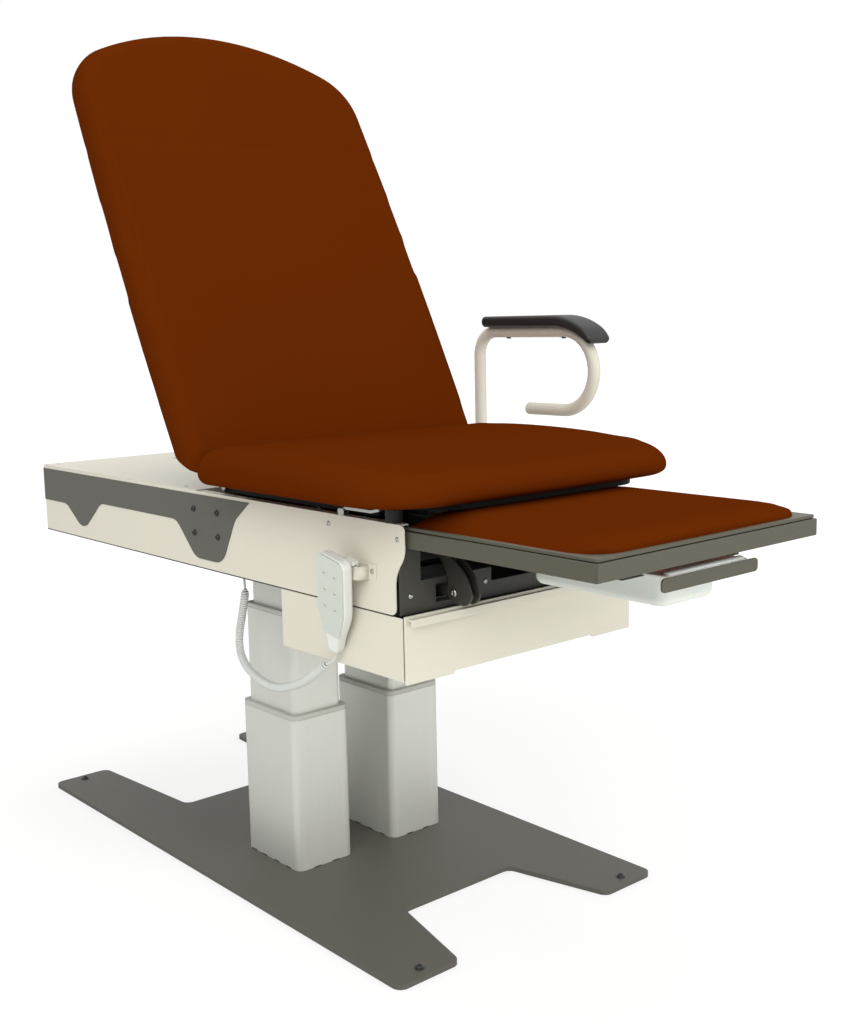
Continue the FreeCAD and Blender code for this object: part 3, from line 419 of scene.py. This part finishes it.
def crown_leg(obj, form):
    """Fills the leg rest's pad: full over the middle, rounded down to the board at its rim."""
    low, high = corners(obj)
    middle, half = (low + high) / 2, (high - low) / 2
    rim, skirt, squareness = 8 * MM, 5 * MM, 12
    for vertex in obj.data.vertices:
        across = min(abs(vertex.co.x - middle.x) / (half.x - rim), 1.0)
        along = min(abs(vertex.co.y - middle.y) / half.y, 1.0)
        fullness = (0.75 + 0.5 * across**2) * (1 - across**squareness) * (1 - along**squareness)
        vertex.co.z += form.leg_crown * fullness * min((vertex.co.z - low.z) / skirt, 1.0)


def crease(obj, form, low):
    """Pulls the cover in along a line across the pad, front and edges alike."""
    board_clear = 8 * MM
    for vertex in obj.data.vertices:
        across = (vertex.co.y - form.crease_at) / form.crease_width
        if abs(across) < 1 and vertex.co.z > low + board_clear:
            vertex.co -= vertex.normal * form.crease_depth * (1 - across * across) ** 2


def put_down(obj, flat):
    obj.data.transform(flat)
    obj.data.update()


def smooth_route(points):
    """Points read along a NURBS spline whose control points are given."""
    curve = bpy.data.curves.new("route", "CURVE")
    curve.dimensions = "3D"
    curve.resolution_u = 16
    spline = curve.splines.new("NURBS")
    spline.points.add(len(points) - 1)
    for place, point in zip(spline.points, points):
        place.co = (*point, 1)
    spline.order_u = 3
    spline.use_endpoint_u = True
    obj = link("route", curve)
    mesh = evaluated(obj)
    route = [v.co.copy() for v in mesh.vertices]
    bpy.data.meshes.remove(mesh)
    bpy.data.objects.remove(obj)
    return curve, route


def sample(route, step):
    """Even steps along the route, each with its distance, place and direction; and the whole length."""
    runs = [(b - a).length for a, b in zip(route, route[1:])]
    total = sum(runs)
    count = round(total / step)
    found, index, passed = [], 0, 0.0
    for number in range(count + 1):
        target = total * number / count
        while index < len(runs) - 1 and passed + runs[index] < target:
            passed += runs[index]
            index += 1
        a, b = route[index], route[index + 1]
        share = (target - passed) / runs[index]
        found.append((target, a.lerp(b, share), (b - a).normalized()))
    return found, total


def fade(value):
    value = min(max(value, 0.0), 1.0)
    return value * value * (3 - 2 * value)


CORD_ROUTE = [
    (-225, -84, 586), (-225, -84, 572), (-228, -92, 556), (-236, -58, 428), (-256, -205, 396),
    (-280, -345, 442), (-292, -418, 489), (-274.8, -438.5, 504.2), (-277.7, -442.6, 520.5),
]


def coil_points(form):
    """The wire's line: straight tails and, between them, a helix about the route."""
    _, route = smooth_route([Vector(p) * MM for p in CORD_ROUTE])
    steps, total = sample(route, form.pitch / form.per_turn)
    start, end, rise = 20 * MM, total - 31 * MM, 12 * MM
    side = Vector((1, 0, 0))
    line, turn = [], 0.0
    for number, (distance, place, ahead) in enumerate(steps):
        side = (side - ahead * side.dot(ahead)).normalized()
        other = ahead.cross(side)
        swing = form.coil * fade((distance - start) / rise) * fade((end - distance) / rise)
        if swing > 0:
            turn += 2 * math.pi / form.per_turn
        elif number % form.per_turn and 0 < number < len(steps) - 1:
            continue
        line.append(place + (side * math.cos(turn) + other * math.sin(turn)) * swing)
    return line


def islands(node):
    """The boxes of a node's separate solids."""
    shape = bmesh.new()
    shape.from_mesh(NODES[node].data)
    bmesh.ops.remove_doubles(shape, verts=shape.verts, dist=0.001 * MM)
    left, found = set(shape.verts), []
    while left:
        stack, group = [left.pop()], []
        while stack:
            vertex = stack.pop()
            group.append(vertex.co.copy())
            near = {e.other_vert(vertex) for e in vertex.link_edges} & left
            left -= near
            stack.extend(near)
        found.append(reach_of(group))
    shape.free()
    return sorted(found, key=lambda box: tuple(round(v, 5) for v in box[0]))


def lathe(shape, rings, sides, turn):
    """Rows of (radius, height) turned about Z and placed by the matrix; a radius may depend on angle."""
    rows = []
    for radius, height in rings:
        row = []
        for number in range(sides):
            angle = 2 * math.pi * number / sides
            reach = radius(angle) if callable(radius) else radius
            place = Vector((reach * math.cos(angle), reach * math.sin(angle), height))
            row.append(shape.verts.new(turn @ place))
        rows.append(row)
    for lower, upper in zip(rows, rows[1:]):
        for number in range(sides):
            after = (number + 1) % sides
            shape.faces.new((lower[number], lower[after], upper[after], upper[number]))
    shape.faces.new(rows[0])
    shape.faces.new(rows[-1])


def socket_screw(shape, radius, height, turn, across):
    """A button head with a hexagon socket."""

    def hexagon(angle):
        return across / 2 / math.cos((angle + math.pi / 6) % (math.pi / 3) - math.pi / 6)

    lathe(shape, [
        (radius * 0.97, 0), (radius, height * 0.25), (radius * 0.94, height * 0.55),
        (radius * 0.78, height * 0.85), (radius * 0.6, height), (hexagon, height),
        (hexagon, height * 0.97), (hexagon, height * 0.4), (across * 0.15, height * 0.32),
    ], 36, turn)


def facing(low, high):
    """A screw head's radius, its height and the matrix that stands it, from the head's box."""
    size = high - low
    axis = min(range(3), key=lambda i: size[i])
    centre = (low + high) / 2
    outward = Vector((0, 0, 0))
    outward[axis] = {0: math.copysign(1, centre.x), 1: -1.0, 2: 1.0}[axis]
    foot = centre - outward * size[axis] / 2
    turn = Matrix.Translation(foot) @ outward.to_track_quat("Z", "Y").to_matrix().to_4x4()
    return max(size) / 2, size[axis], turn


def screw_set(name, node, across):
    def build(shape):
        for low, high in islands(node):
            radius, height, turn = facing(low, high)
            socket_screw(shape, radius, height, turn, radius * across)

    return mesh_piece(name, build)


def cross_screw(shape, radius, height, turn):
    """A pan head with a cross recess."""

    def cross(angle):
        lobe = abs(math.cos(2 * angle))
        return radius * (0.16 + 0.34 * lobe**6)

    lathe(shape, [
        (radius, 0), (radius, height * 0.45), (radius * 0.9, height * 0.78), (radius * 0.66, height),
        (cross, height * 0.98), (cross, height * 0.5), (radius * 0.1, height * 0.4),
    ], 48, turn)


def bar(shape, low, high):
    """A plain block between two corners."""
    size = Vector(high) - Vector(low)
    middle = (Vector(high) + Vector(low)) / 2
    bmesh.ops.create_cube(shape, size=1.0, matrix=Matrix.Translation(middle) @ Matrix.Diagonal((*size, 1.0)))


def pointing(place, outward):
    """A matrix that stands Z along the outward direction at the place, given in millimetres."""
    turn = Vector(outward).to_track_quat("Z", "Y").to_matrix().to_4x4()
    return Matrix.Translation(Vector(place) * MM) @ turn


def rounded_loop(points, steps=8):
    """A closed outline whose corners, each (x, y, radius), are arcs."""
    loop = []
    for number, (x, y, radius) in enumerate(points):
        corner = Vector((x, y, 0))
        before = (Vector((*points[number - 1][:2], 0)) - corner).normalized()
        after = (Vector((*points[(number + 1) % len(points)][:2], 0)) - corner).normalized()
        half = before.angle(after) / 2
        centre = corner + (before + after).normalized() * radius / math.sin(half)
        start = corner + before * radius / math.tan(half) - centre
        end = corner + after * radius / math.tan(half) - centre
        loop += [centre + start.slerp(end, step / steps) * radius for step in range(steps + 1)]
    return loop


def plate(name, loops, low, high, turn):
    """A plate with its first loop as outline and the others as holes, in millimetres, then turned."""
    points, edges = [], []
    for loop in loops:
        first = len(points)
        points += [point.to_2d() for point in loop]
        edges += [(first + step, first + (step + 1) % len(loop)) for step in range(len(loop))]
    with_holes, merge = 5, 1e-4
    places, _, faces, *_ = geometry.delaunay_2d_cdt(points, edges, [], with_holes, merge)

    def build(shape):
        verts = [shape.verts.new((*place, low)) for place in places]
        for face in faces:
            shape.faces.new([verts[index] for index in face])
        raised = bmesh.ops.extrude_face_region(shape, geom=shape.faces[:], use_keep_orig=True)["geom"]
        top = [part for part in raised if isinstance(part, bmesh.types.BMVert)]
        bmesh.ops.translate(shape, verts=top, vec=(0, 0, high - low))
        bmesh.ops.recalc_face_normals(shape, faces=shape.faces[:])
        bmesh.ops.transform(shape, matrix=turn @ Matrix.Scale(MM, 4), verts=shape.verts)

    made = mesh_piece(name, build)
    for face in made.data.polygons:
        face.use_smooth = False
    return made


def handset_turn():
    """Stands X right, Y up the hand control and Z out of its face, where it hangs."""
    outward = Vector((-math.cos(HANDSET_TILT), 0, -math.sin(HANDSET_TILT)))
    down = Vector((math.sin(HANDSET_TILT), 0, -math.cos(HANDSET_TILT)))
    head = Vector((0, -1, 0))
    right = head * math.cos(HANDSET_ROLL) + down * math.sin(HANDSET_ROLL)
    upward = head * math.sin(HANDSET_ROLL) - down * math.cos(HANDSET_ROLL)
    return Matrix.Translation(HANDSET) @ Matrix((right, upward, outward)).transposed().to_4x4()


class TABLE_OT_sheet_metal(bpy.types.Operator):
    """Paint the base, panels, frames, drawer and armrest tube"""

    bl_idname = "table.sheet_metal"
    bl_label = "Sheet metal"

    def execute(self, context):
        cream = powder_coat("cream powder coat", colour("cream"))
        grey = powder_coat("warm grey powder coat", colour("warm_grey"), 2.5 * MM, 0.5, 0.66)
        charcoal = powder_coat("charcoal powder coat", colour("charcoal"), sheen=0.3)
        olive = powder_coat("olive grey powder coat", colour("olive"))
        black = powder_coat("black powder coat", (*linear("#0F0F0D"), 1.0), sheen=0.08)
        for made, slot, width in (
            (cream, "cream_paint", 0.8 * MM), (grey, "warm_grey_paint", 0.6 * MM),
            (charcoal, "charcoal_paint", 0.5 * MM), (olive, "olive_paint", 1.6 * MM),
            (black, "black_paint", 0.8 * MM),
        ):
            finish_nodes(made, slot, width)
        self.leg_board(black)
        self.bracket_web(cream)
        return {"FINISHED"}

    def leg_board(self, black):
        """The painted board under the leg rest's pad, and under its edge a black plate: painted shadow of
        the gap between board and frame.
        """
        low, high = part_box("leg_frame")
        board_paint = powder_coat("board paint", (*linear("#4D4A3B"), 1.0))
        # The first row is painted shadow: a black plate that stands for the shade in the gap under the
        # board's edge.
        for name, made, inset, bottom, top in (
            ("leg_board_painted_shadow", black, 5, 0.0, 1.6), ("leg_pad_board", board_paint, 3, 1.5, 6.0),
        ):
            x0, y0 = low.x / MM + inset, low.y / MM + inset
            x1, y1 = high.x / MM - inset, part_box("leg_pad")[1].y / MM
            loop = rounded_loop([(x0, y0, 4), (x1, y0, 4), (x1, y1, 1), (x0, y1, 1)])
            board = plate(name, [loop], bottom, top, Matrix.Translation((0, 0, high.z)))
            dress(board, made)
            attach(board, "leg")

    def bracket_web(self, cream):
        """The strip that carries the hand control's hook out from its plate."""
        low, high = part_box("handset_bracket")
        edge = low.y + 20 * MM

        def build(shape):
            bar(shape, (low.x, edge - 1.8 * MM, low.z + 0.5 * MM), (high.x, edge, low.z + 22 * MM))

        web = mesh_piece("handset_bracket_web", build)
        dress(web, cream)
        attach(web, "upper")


class TABLE_OT_columns(bpy.types.Operator):
    """Finish the lifting columns and their guide collars"""

    bl_idname = "table.columns"
    bl_label = "Columns"

    def execute(self, context):
        finish_nodes(anodised_aluminium("anodised aluminium", colour("silver")), "silver_anodised", 0.5 * MM)
        collar = moulded_plastic("light grey nylon", (*linear("#BFC0B9"), 1.0), 2 * MM, 0.4, 0.55)
        finish_nodes(collar, "collar_plastic", 1.2 * MM)
        return {"FINISHED"}


class TABLE_OT_metalwork(bpy.types.Operator):
    """Finish the zinc-plated bars, pins and prop, and make the screws"""

    bl_idname = "table.metalwork"
    bl_label = "Metalwork and screws"

    def execute(self, context):
        zinc = zinc_plate("zinc plated steel", colour("zinc"))
        black = powder_coat("black oxide steel", (*linear("#1E1E1D"), 1.0), 2 * MM, 0.35, 0.5)
        finish_nodes(zinc, "zinc", 0.5 * MM)
        for name, node, body, made, slot, across in (
            ("panel_screw_heads", "panel_screws", "upper", zinc, "zinc", 0.9),
            ("accent_screw_heads", "accent_screws", "upper", black, "black_plastic", 1.0),
            ("levelling_foot_screws", "leveling_feet", "base", black, "black_plastic", 0.9),
        ):
            if node == "leveling_feet":
                heads = self.feet(name, node, across)
            else:
                heads = screw_set(name, node, across)
            dress(heads, made)
            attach(heads, body)
            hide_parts(node)
        self.fork_bolts(zinc)
        self.armrest_screws(black)
        self.column_foot_shade(black)
        self.bracket_screw(zinc)
        return {"FINISHED"}

    def bracket_screw(self, zinc):
        """The screw that holds the hand control's bracket to the side panel."""
        low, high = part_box("handset_bracket")
        face = (high.x - 2 * MM) / MM

        def build(shape):
            cross_screw(shape, 4.2 * MM, 1.8 * MM, pointing((face, -531, 664), (-1, 0, 0)))

        screw = mesh_piece("handset_bracket_screw", build)
        dress(screw, zinc)
        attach(screw, "upper")

    def fork_bolts(self, zinc):
        """A cross-head bolt on the outer side of each heel fork, and the nuts on the pin it swings on."""
        for word, side in (("near", -1), ("far", 1)):
            low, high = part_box(f"{word}_heel_fork")
            outer = (low.x if side < 0 else high.x) / MM

            def head(shape):
                cross_screw(shape, 7 * MM, 3.5 * MM, pointing((outer, *FORK_BOLT), (side, 0, 0)))

            def nuts(shape):
                for depth in (4.2, 15.2):
                    foot = pointing((outer - side * depth, *FORK_PIVOT), (-side, 0, 0))
                    lathe(shape, [(6.5 * MM, 0), (6.5 * MM, 2.6 * MM)], 6, foot)

            for piece, build, body in (("bolt", head, "fork"), ("nuts", nuts, "stirrup")):
                made = mesh_piece(f"{word}_fork_{piece}", build)
                dress(made, zinc)
                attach(made, f"{word}_{body}")

    def armrest_screws(self, black):
        """Two screws that hold the armrest pad through its tube."""

        def build(shape):
            for y in (-158, -316):
                stand = pointing((ARM_X, y, ARM_UNDER + 0.4), (0, 0, -1))
                socket_screw(shape, 5 * MM, 3 * MM, stand, 4.5 * MM)

        screws = mesh_piece("armrest_pad_screws", build)
        dress(screws, black)
        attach(screws, "armrest")

    def column_foot_shade(self, black):
        """Short black strips at the foot of each outer column: painted shade of the gap between each pair of
        welds.
        """

        def build(shape):
            proud, side_run, end_run = 0.5 * MM, 17 * MM, 16 * MM
            for node in ("near_outer_column", "far_outer_column"):
                low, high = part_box(node)
                middle = (low + high) / 2
                top = low.z + 1.8 * MM
                for offset in (-62, -22, 20, 56):
                    for x in (low.x, high.x):
                        y = middle.y + offset * MM
                        bar(shape, (x - proud, y, low.z), (x + proud, y + side_run, top))
                for offset in (-30, 14):
                    for y in (low.y, high.y):
                        x = middle.x + offset * MM
                        bar(shape, (x, y - proud, low.z), (x + end_run, y + proud, top))

        # Black strips standing a little proud: painted shade where the welds leave hollows at the column's
        # foot.
        shade_strips = mesh_piece("column_foot_painted_shade", build)
        dress(shade_strips, black)
        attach(shade_strips, "base")

    def feet(self, name, node, across):
        """A flanged screw head with a hexagon socket over each foot's hole in the plate."""
        plate_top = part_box("base_plate")[1].z
        flange = 1.4 * MM

        def build(shape):
            for low, high in islands(node):
                middle = (low + high) / 2
                radius = (high.x - low.x) / 2
                foot = Matrix.Translation((middle.x, middle.y, plate_top))
                lathe(shape, [
                    (radius * 0.7, -6 * MM), (radius * 0.7, 0), (radius, 0.1 * MM), (radius, 1.1 * MM),
                    (radius * 0.9, 1.5 * MM),
                ], 36, foot)
                rise = foot @ Matrix.Translation((0, 0, flange))
                socket_screw(shape, radius * 0.74, high.z - plate_top - flange, rise, radius * across)

        return mesh_piece(name, build)


class TABLE_OT_plastics(bpy.types.Operator):
    """Finish the basin, hand control, pads of rubber and other mouldings"""

    bl_idname = "table.plastics"
    bl_label = "Mouldings"

    def execute(self, context):
        black = moulded_plastic("black polyurethane", (*linear("#1B1B1A"), 1.0), 2.5 * MM, 0.42, 0.6)
        shell = moulded_plastic("white ABS", colour("handset"), 3 * MM, 0.3, 0.4)
        film = moulded_plastic("keypad film", colour("keypad"), 2 * MM, 0.42, 0.52, 1.6)
        gland = moulded_plastic("grey gland nylon", (*linear("#8F9089"), 1.0), 2 * MM, 0.45, 0.6)
        basin = basin_plastic("milky polypropylene")
        for made, slot, width in (
            (black, "black_plastic", 1.0 * MM), (soft_rubber("nitrile rubber"), "black_rubber", 1.0 * MM),
            (basin, "pan_plastic", 0.8 * MM), (shell, "handset_plastic", 0.6 * MM),
            (film, "keypad_film", 0.3 * MM), (gland, "cord_jacket", 1.0 * MM),
        ):
            finish_nodes(made, slot, width)
        self.keypad(film)
        self.pan_bead(basin)
        return {"FINISHED"}

    def pan_bead(self, plastic):
        """The rolled bead along the basin's front rim, behind its handle."""
        low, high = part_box("treatment_pan")
        reach, deep, rise, end = high.x - 8 * MM, 7 * MM, 3.2 * MM, 2 * MM
        lay = Matrix((
            (0, 0, 1, 0),
            (deep, 0, 0, low.y + 10 * MM),
            (0, rise, 0, high.z + 1.4 * MM),
            (0, 0, 0, 1),
        ))

        def build(shape):
            rings = [(0.55, -reach), (1, end - reach), (1, reach - end), (0.55, reach)]
            lathe(shape, rings, 24, lay)

        bead = mesh_piece("pan_rim_bead", build)
        dress(bead, plastic)
        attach(bead, "pan")

    def keypad(self, film):
        """The film over the whole face, cut out round the keys, and a small mark on each key."""
        turn = handset_turn()
        film_low, film_high = -1.4, 1.6
        outline = [
            (-20, -67, 7), (20, -67, 7), (32.6, -24, 40), (31.8, 74.2, 13), (-31.8, 74.2, 13),
            (-32.6, -24, 40),
        ]
        wide, tall = KEY_HOLE_HALF
        loops = [rounded_loop(outline)]
        for x, y in KEY_SPOTS:
            loops.append(rounded_loop([
                (x + side * wide, y + end * tall, KEY_HOLE_ROUND)
                for side, end in ((-1, -1), (1, -1), (1, 1), (-1, 1))
            ]))
        face = plate("keypad_face", loops, film_low, film_high, turn)
        dress(face, film)
        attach(face, "handset")
        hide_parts("keypad_plate")
        ink = moulded_plastic("keypad ink", (*linear("#6A6E67"), 1.0), 1 * MM, 0.5, 0.6)
        for number, (x, y) in enumerate(KEY_SPOTS, 1):
            dash = (-3.4, -0.8, 0.2, 0.8)
            tick = (1.4, -1.6, 3.2, 0.4) if number % 2 else (1.4, -0.4, 3.2, 1.6)

            def build(shape):
                for left, low, right, high in (dash, tick):
                    foot, head = Vector((x + left, y + low, 1.9)), Vector((x + right, y + high, 2.02))
                    bar(shape, foot * MM, head * MM)
                bmesh.ops.transform(shape, matrix=turn, verts=shape.verts)

            mark = mesh_piece(f"key_{number}_mark", build)
            dress(mark, ink)
            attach(mark, f"key_{number}")


class TABLE_OT_cushions(bpy.types.Operator):
    """Upholster the backrest, seat and leg rest"""

    bl_idname = "table.cushions"
    bl_label = "Cushions"

    def execute(self, context):
        form = context.scene.cushion_form
        vinyl = coated_vinyl("coated vinyl", colour("vinyl"))
        upright = Matrix.Translation(HINGE) @ Matrix.Rotation(BACK_ANGLE, 4, "X")
        for name, node, body, flat, fill in (
            ("back_cushion", "back_pad", "back", upright, 0.85),
            ("seat_cushion", "seat_pad", "seat", Matrix.Identity(4), 0.85),
            ("leg_cushion", "leg_pad", "leg", Matrix.Identity(4), 0.9),
        ):
            pad = foam_pad(name, node, flat, form)
            if name == "back_cushion":
                crease(pad, form, corners(pad)[0].z)
            elif name == "seat_cushion":
                crown_seat(pad, form)
            else:
                crown_leg(pad, form)
            put_down(pad, flat)
            dress(pad, vinyl)
            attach(pad, body)
            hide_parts(node)
        return {"FINISHED"}


class TABLE_OT_cord(bpy.types.Operator):
    """Wind the curly cord from the gland to the hand control"""

    bl_idname = "table.cord"
    bl_label = "Curly cord"

    def execute(self, context):
        form = context.scene.cord_form
        curve, line = smooth_route(coil_points(form))
        curve.resolution_u = 2
        curve.bevel_depth = form.wire
        curve.bevel_resolution = 2
        curve.use_fill_caps = True
        wire = link("wire", curve)
        cord = link("handset_curly_cord", evaluated(wire))
        bpy.data.objects.remove(wire)
        for face in cord.data.polygons:
            face.use_smooth = True
        jacket = moulded_plastic("cord jacket", (*linear("#D3D6D1"), 1.0), 2 * MM, 0.36, 0.48)
        dress(cord, jacket)
        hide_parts("handset_cord")
        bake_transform(cord)
        return {"FINISHED"}


class TABLE_OT_stage(bpy.types.Operator):
    """Set the floor, the lights and the camera"""

    bl_idname = "table.stage"
    bl_label = "Stage"

    def execute(self, context):
        setup = context.scene.stage_setup
        self.floor(setup)
        self.light(context.scene, setup)
        self.camera(context.scene, setup)
        context.scene.view_settings.view_transform = "Standard"
        return {"FINISHED"}

    def floor(self, setup):
        def build(shape):
            bmesh.ops.create_grid(shape, x_segments=1, y_segments=1, size=40)

        ground = mesh_piece("floor", build)
        ground.location.z = -0.0005
        # Painted studio floor: half its brightness is its own, so it stays pale under the soft shadow,
        # and all of it a few metres away, where it meets the backdrop.
        made, tree, shader, place = material("pale floor", Roughness=0.9)
        shader.inputs["Base Color"].default_value = (*setup.floor, 1.0)
        seen = add(tree, "ShaderNodeLightPath").outputs["Is Camera Ray"]
        glow = add(tree, "ShaderNodeEmission", {"Color": (1, 1, 1, 1), "Strength": 1.16})
        near, far = 1.0, 3.0
        away = add(tree, "ShaderNodeVectorMath", {"operation": "LENGTH"}, {0: place})
        own = add(tree, "ShaderNodeMapRange", {
            "From Min": near, "From Max": far, "To Min": 0.55, "To Max": 1.0,
        }, {"Value": away.outputs["Value"]})
        half = add(tree, "ShaderNodeMath", {"operation": "MULTIPLY"}, {0: seen, 1: own.outputs["Result"]})
        mix = add(tree, "ShaderNodeMixShader", None, {0: half.outputs["Value"], 1: shader.outputs["BSDF"]})
        tree.links.new(glow.outputs["Emission"], mix.inputs[2])
        tree.links.new(mix.outputs["Shader"], tree.nodes["Material Output"].inputs["Surface"])
        dress(ground, made)

    def light(self, scene, setup):
        world = bpy.data.worlds.new("studio")
        scene.world = world
        world.use_nodes = True
        tree = world.node_tree
        back = tree.nodes["Background"]
        back.inputs["Color"].default_value = (1, 1, 1, 1)
        path = add(tree, "ShaderNodeLightPath")
        seen = add(tree, "ShaderNodeMath", {"operation": "ADD", "use_clamp": True}, {
            0: path.outputs["Is Camera Ray"], 1: path.outputs["Is Glossy Ray"],
        })
        bright = add(tree, "ShaderNodeMath", {"operation": "ADD", "use_clamp": True}, {
            0: seen.outputs["Value"], 1: path.outputs["Is Transmission Ray"],
        })
        level = add(tree, "ShaderNodeMapRange", {"To Min": setup.ambient, "To Max": 1.0}, {
            "Value": bright.outputs["Value"],
        })
        tree.links.new(level.outputs["Result"], back.inputs["Strength"])
        for name, place, aim, size, watts in (
            ("key softbox", (-3.2, -2.6, 3.4), (0, -0.2, 0.7), 2.6, 95),
            ("fill softbox", (1.3, -4.0, 1.5), (0, -0.3, 0.7), 2.6, 46),
            ("top softbox", (0.3, 0.4, 4.2), (0, 0, 0.7), 3.0, 48),
        ):
            lamp = bpy.data.lights.new(name, "AREA")
            lamp.shape = "SQUARE"
            lamp.size = size
            lamp.energy = watts
            obj = link(name, lamp)
            obj.location = place
            obj.rotation_euler = (Vector(aim) - Vector(place)).to_track_quat("-Z", "Y").to_euler()

    def camera(self, scene, setup):
        yaw, pitch, roll = CAMERA_YAW, CAMERA_PITCH, CAMERA_ROLL
        forward = math.cos(pitch)
        ahead = Vector((math.sin(yaw) * forward, math.cos(yaw) * forward, -math.sin(pitch)))
        level = Vector((math.cos(yaw), -math.sin(yaw), 0))
        upward = level.cross(ahead)
        right = level * math.cos(roll) + upward * math.sin(roll)
        upward = upward * math.cos(roll) - level * math.sin(roll)
        eye = bpy.data.cameras.new("camera")
        eye.lens = setup.lens
        eye.sensor_width = 36.0
        eye.shift_y = OPTICAL_CENTRE_DROP_PX / PICTURE_HEIGHT_PX
        eye.clip_end = 100.0
        obj = link("camera", eye)
        turn = Matrix((right, upward, -ahead)).transposed().to_4x4()
        obj.matrix_world = Matrix.Translation(CAMERA_PLACE) @ turn
        scene.camera = obj


STEPS = (
    TABLE_OT_stage, TABLE_OT_sheet_metal, TABLE_OT_columns, TABLE_OT_metalwork, TABLE_OT_plastics,
    TABLE_OT_cord, TABLE_OT_cushions,
)
GROUPS = {
    "table_colours": TableColours,
    "cushion_form": CushionForm,
    "cord_form": CordForm,
    "stage_setup": StageSetup,
}


class VIEW3D_PT_table(bpy.types.Panel):
    """Sizes, colours and steps of the examination table"""

    bl_label = "Examination Table"
    bl_space_type = "VIEW_3D"
    bl_region_type = "UI"
    bl_category = "Table"

    def draw(self, context):
        for name, group in GROUPS.items():
            box = self.layout.box()
            for key in group.__annotations__:
                box.prop(getattr(context.scene, name), key)
        for step in STEPS:
            self.layout.operator(step.bl_idname)


def register():
    for cls in (*GROUPS.values(), *STEPS, VIEW3D_PT_table):
        bpy.utils.register_class(cls)
    for name, group in GROUPS.items():
        setattr(bpy.types.Scene, name, PointerProperty(type=group))


def unregister():
    for name in GROUPS:
        delattr(bpy.types.Scene, name)
    for cls in reversed((*GROUPS.values(), *STEPS, VIEW3D_PT_table)):
        bpy.utils.unregister_class(cls)


def main():
    register()
    for step in STEPS:
        getattr(bpy.ops.table, step.bl_idname.split(".")[1])()


if __name__ == "__main__":
    main()
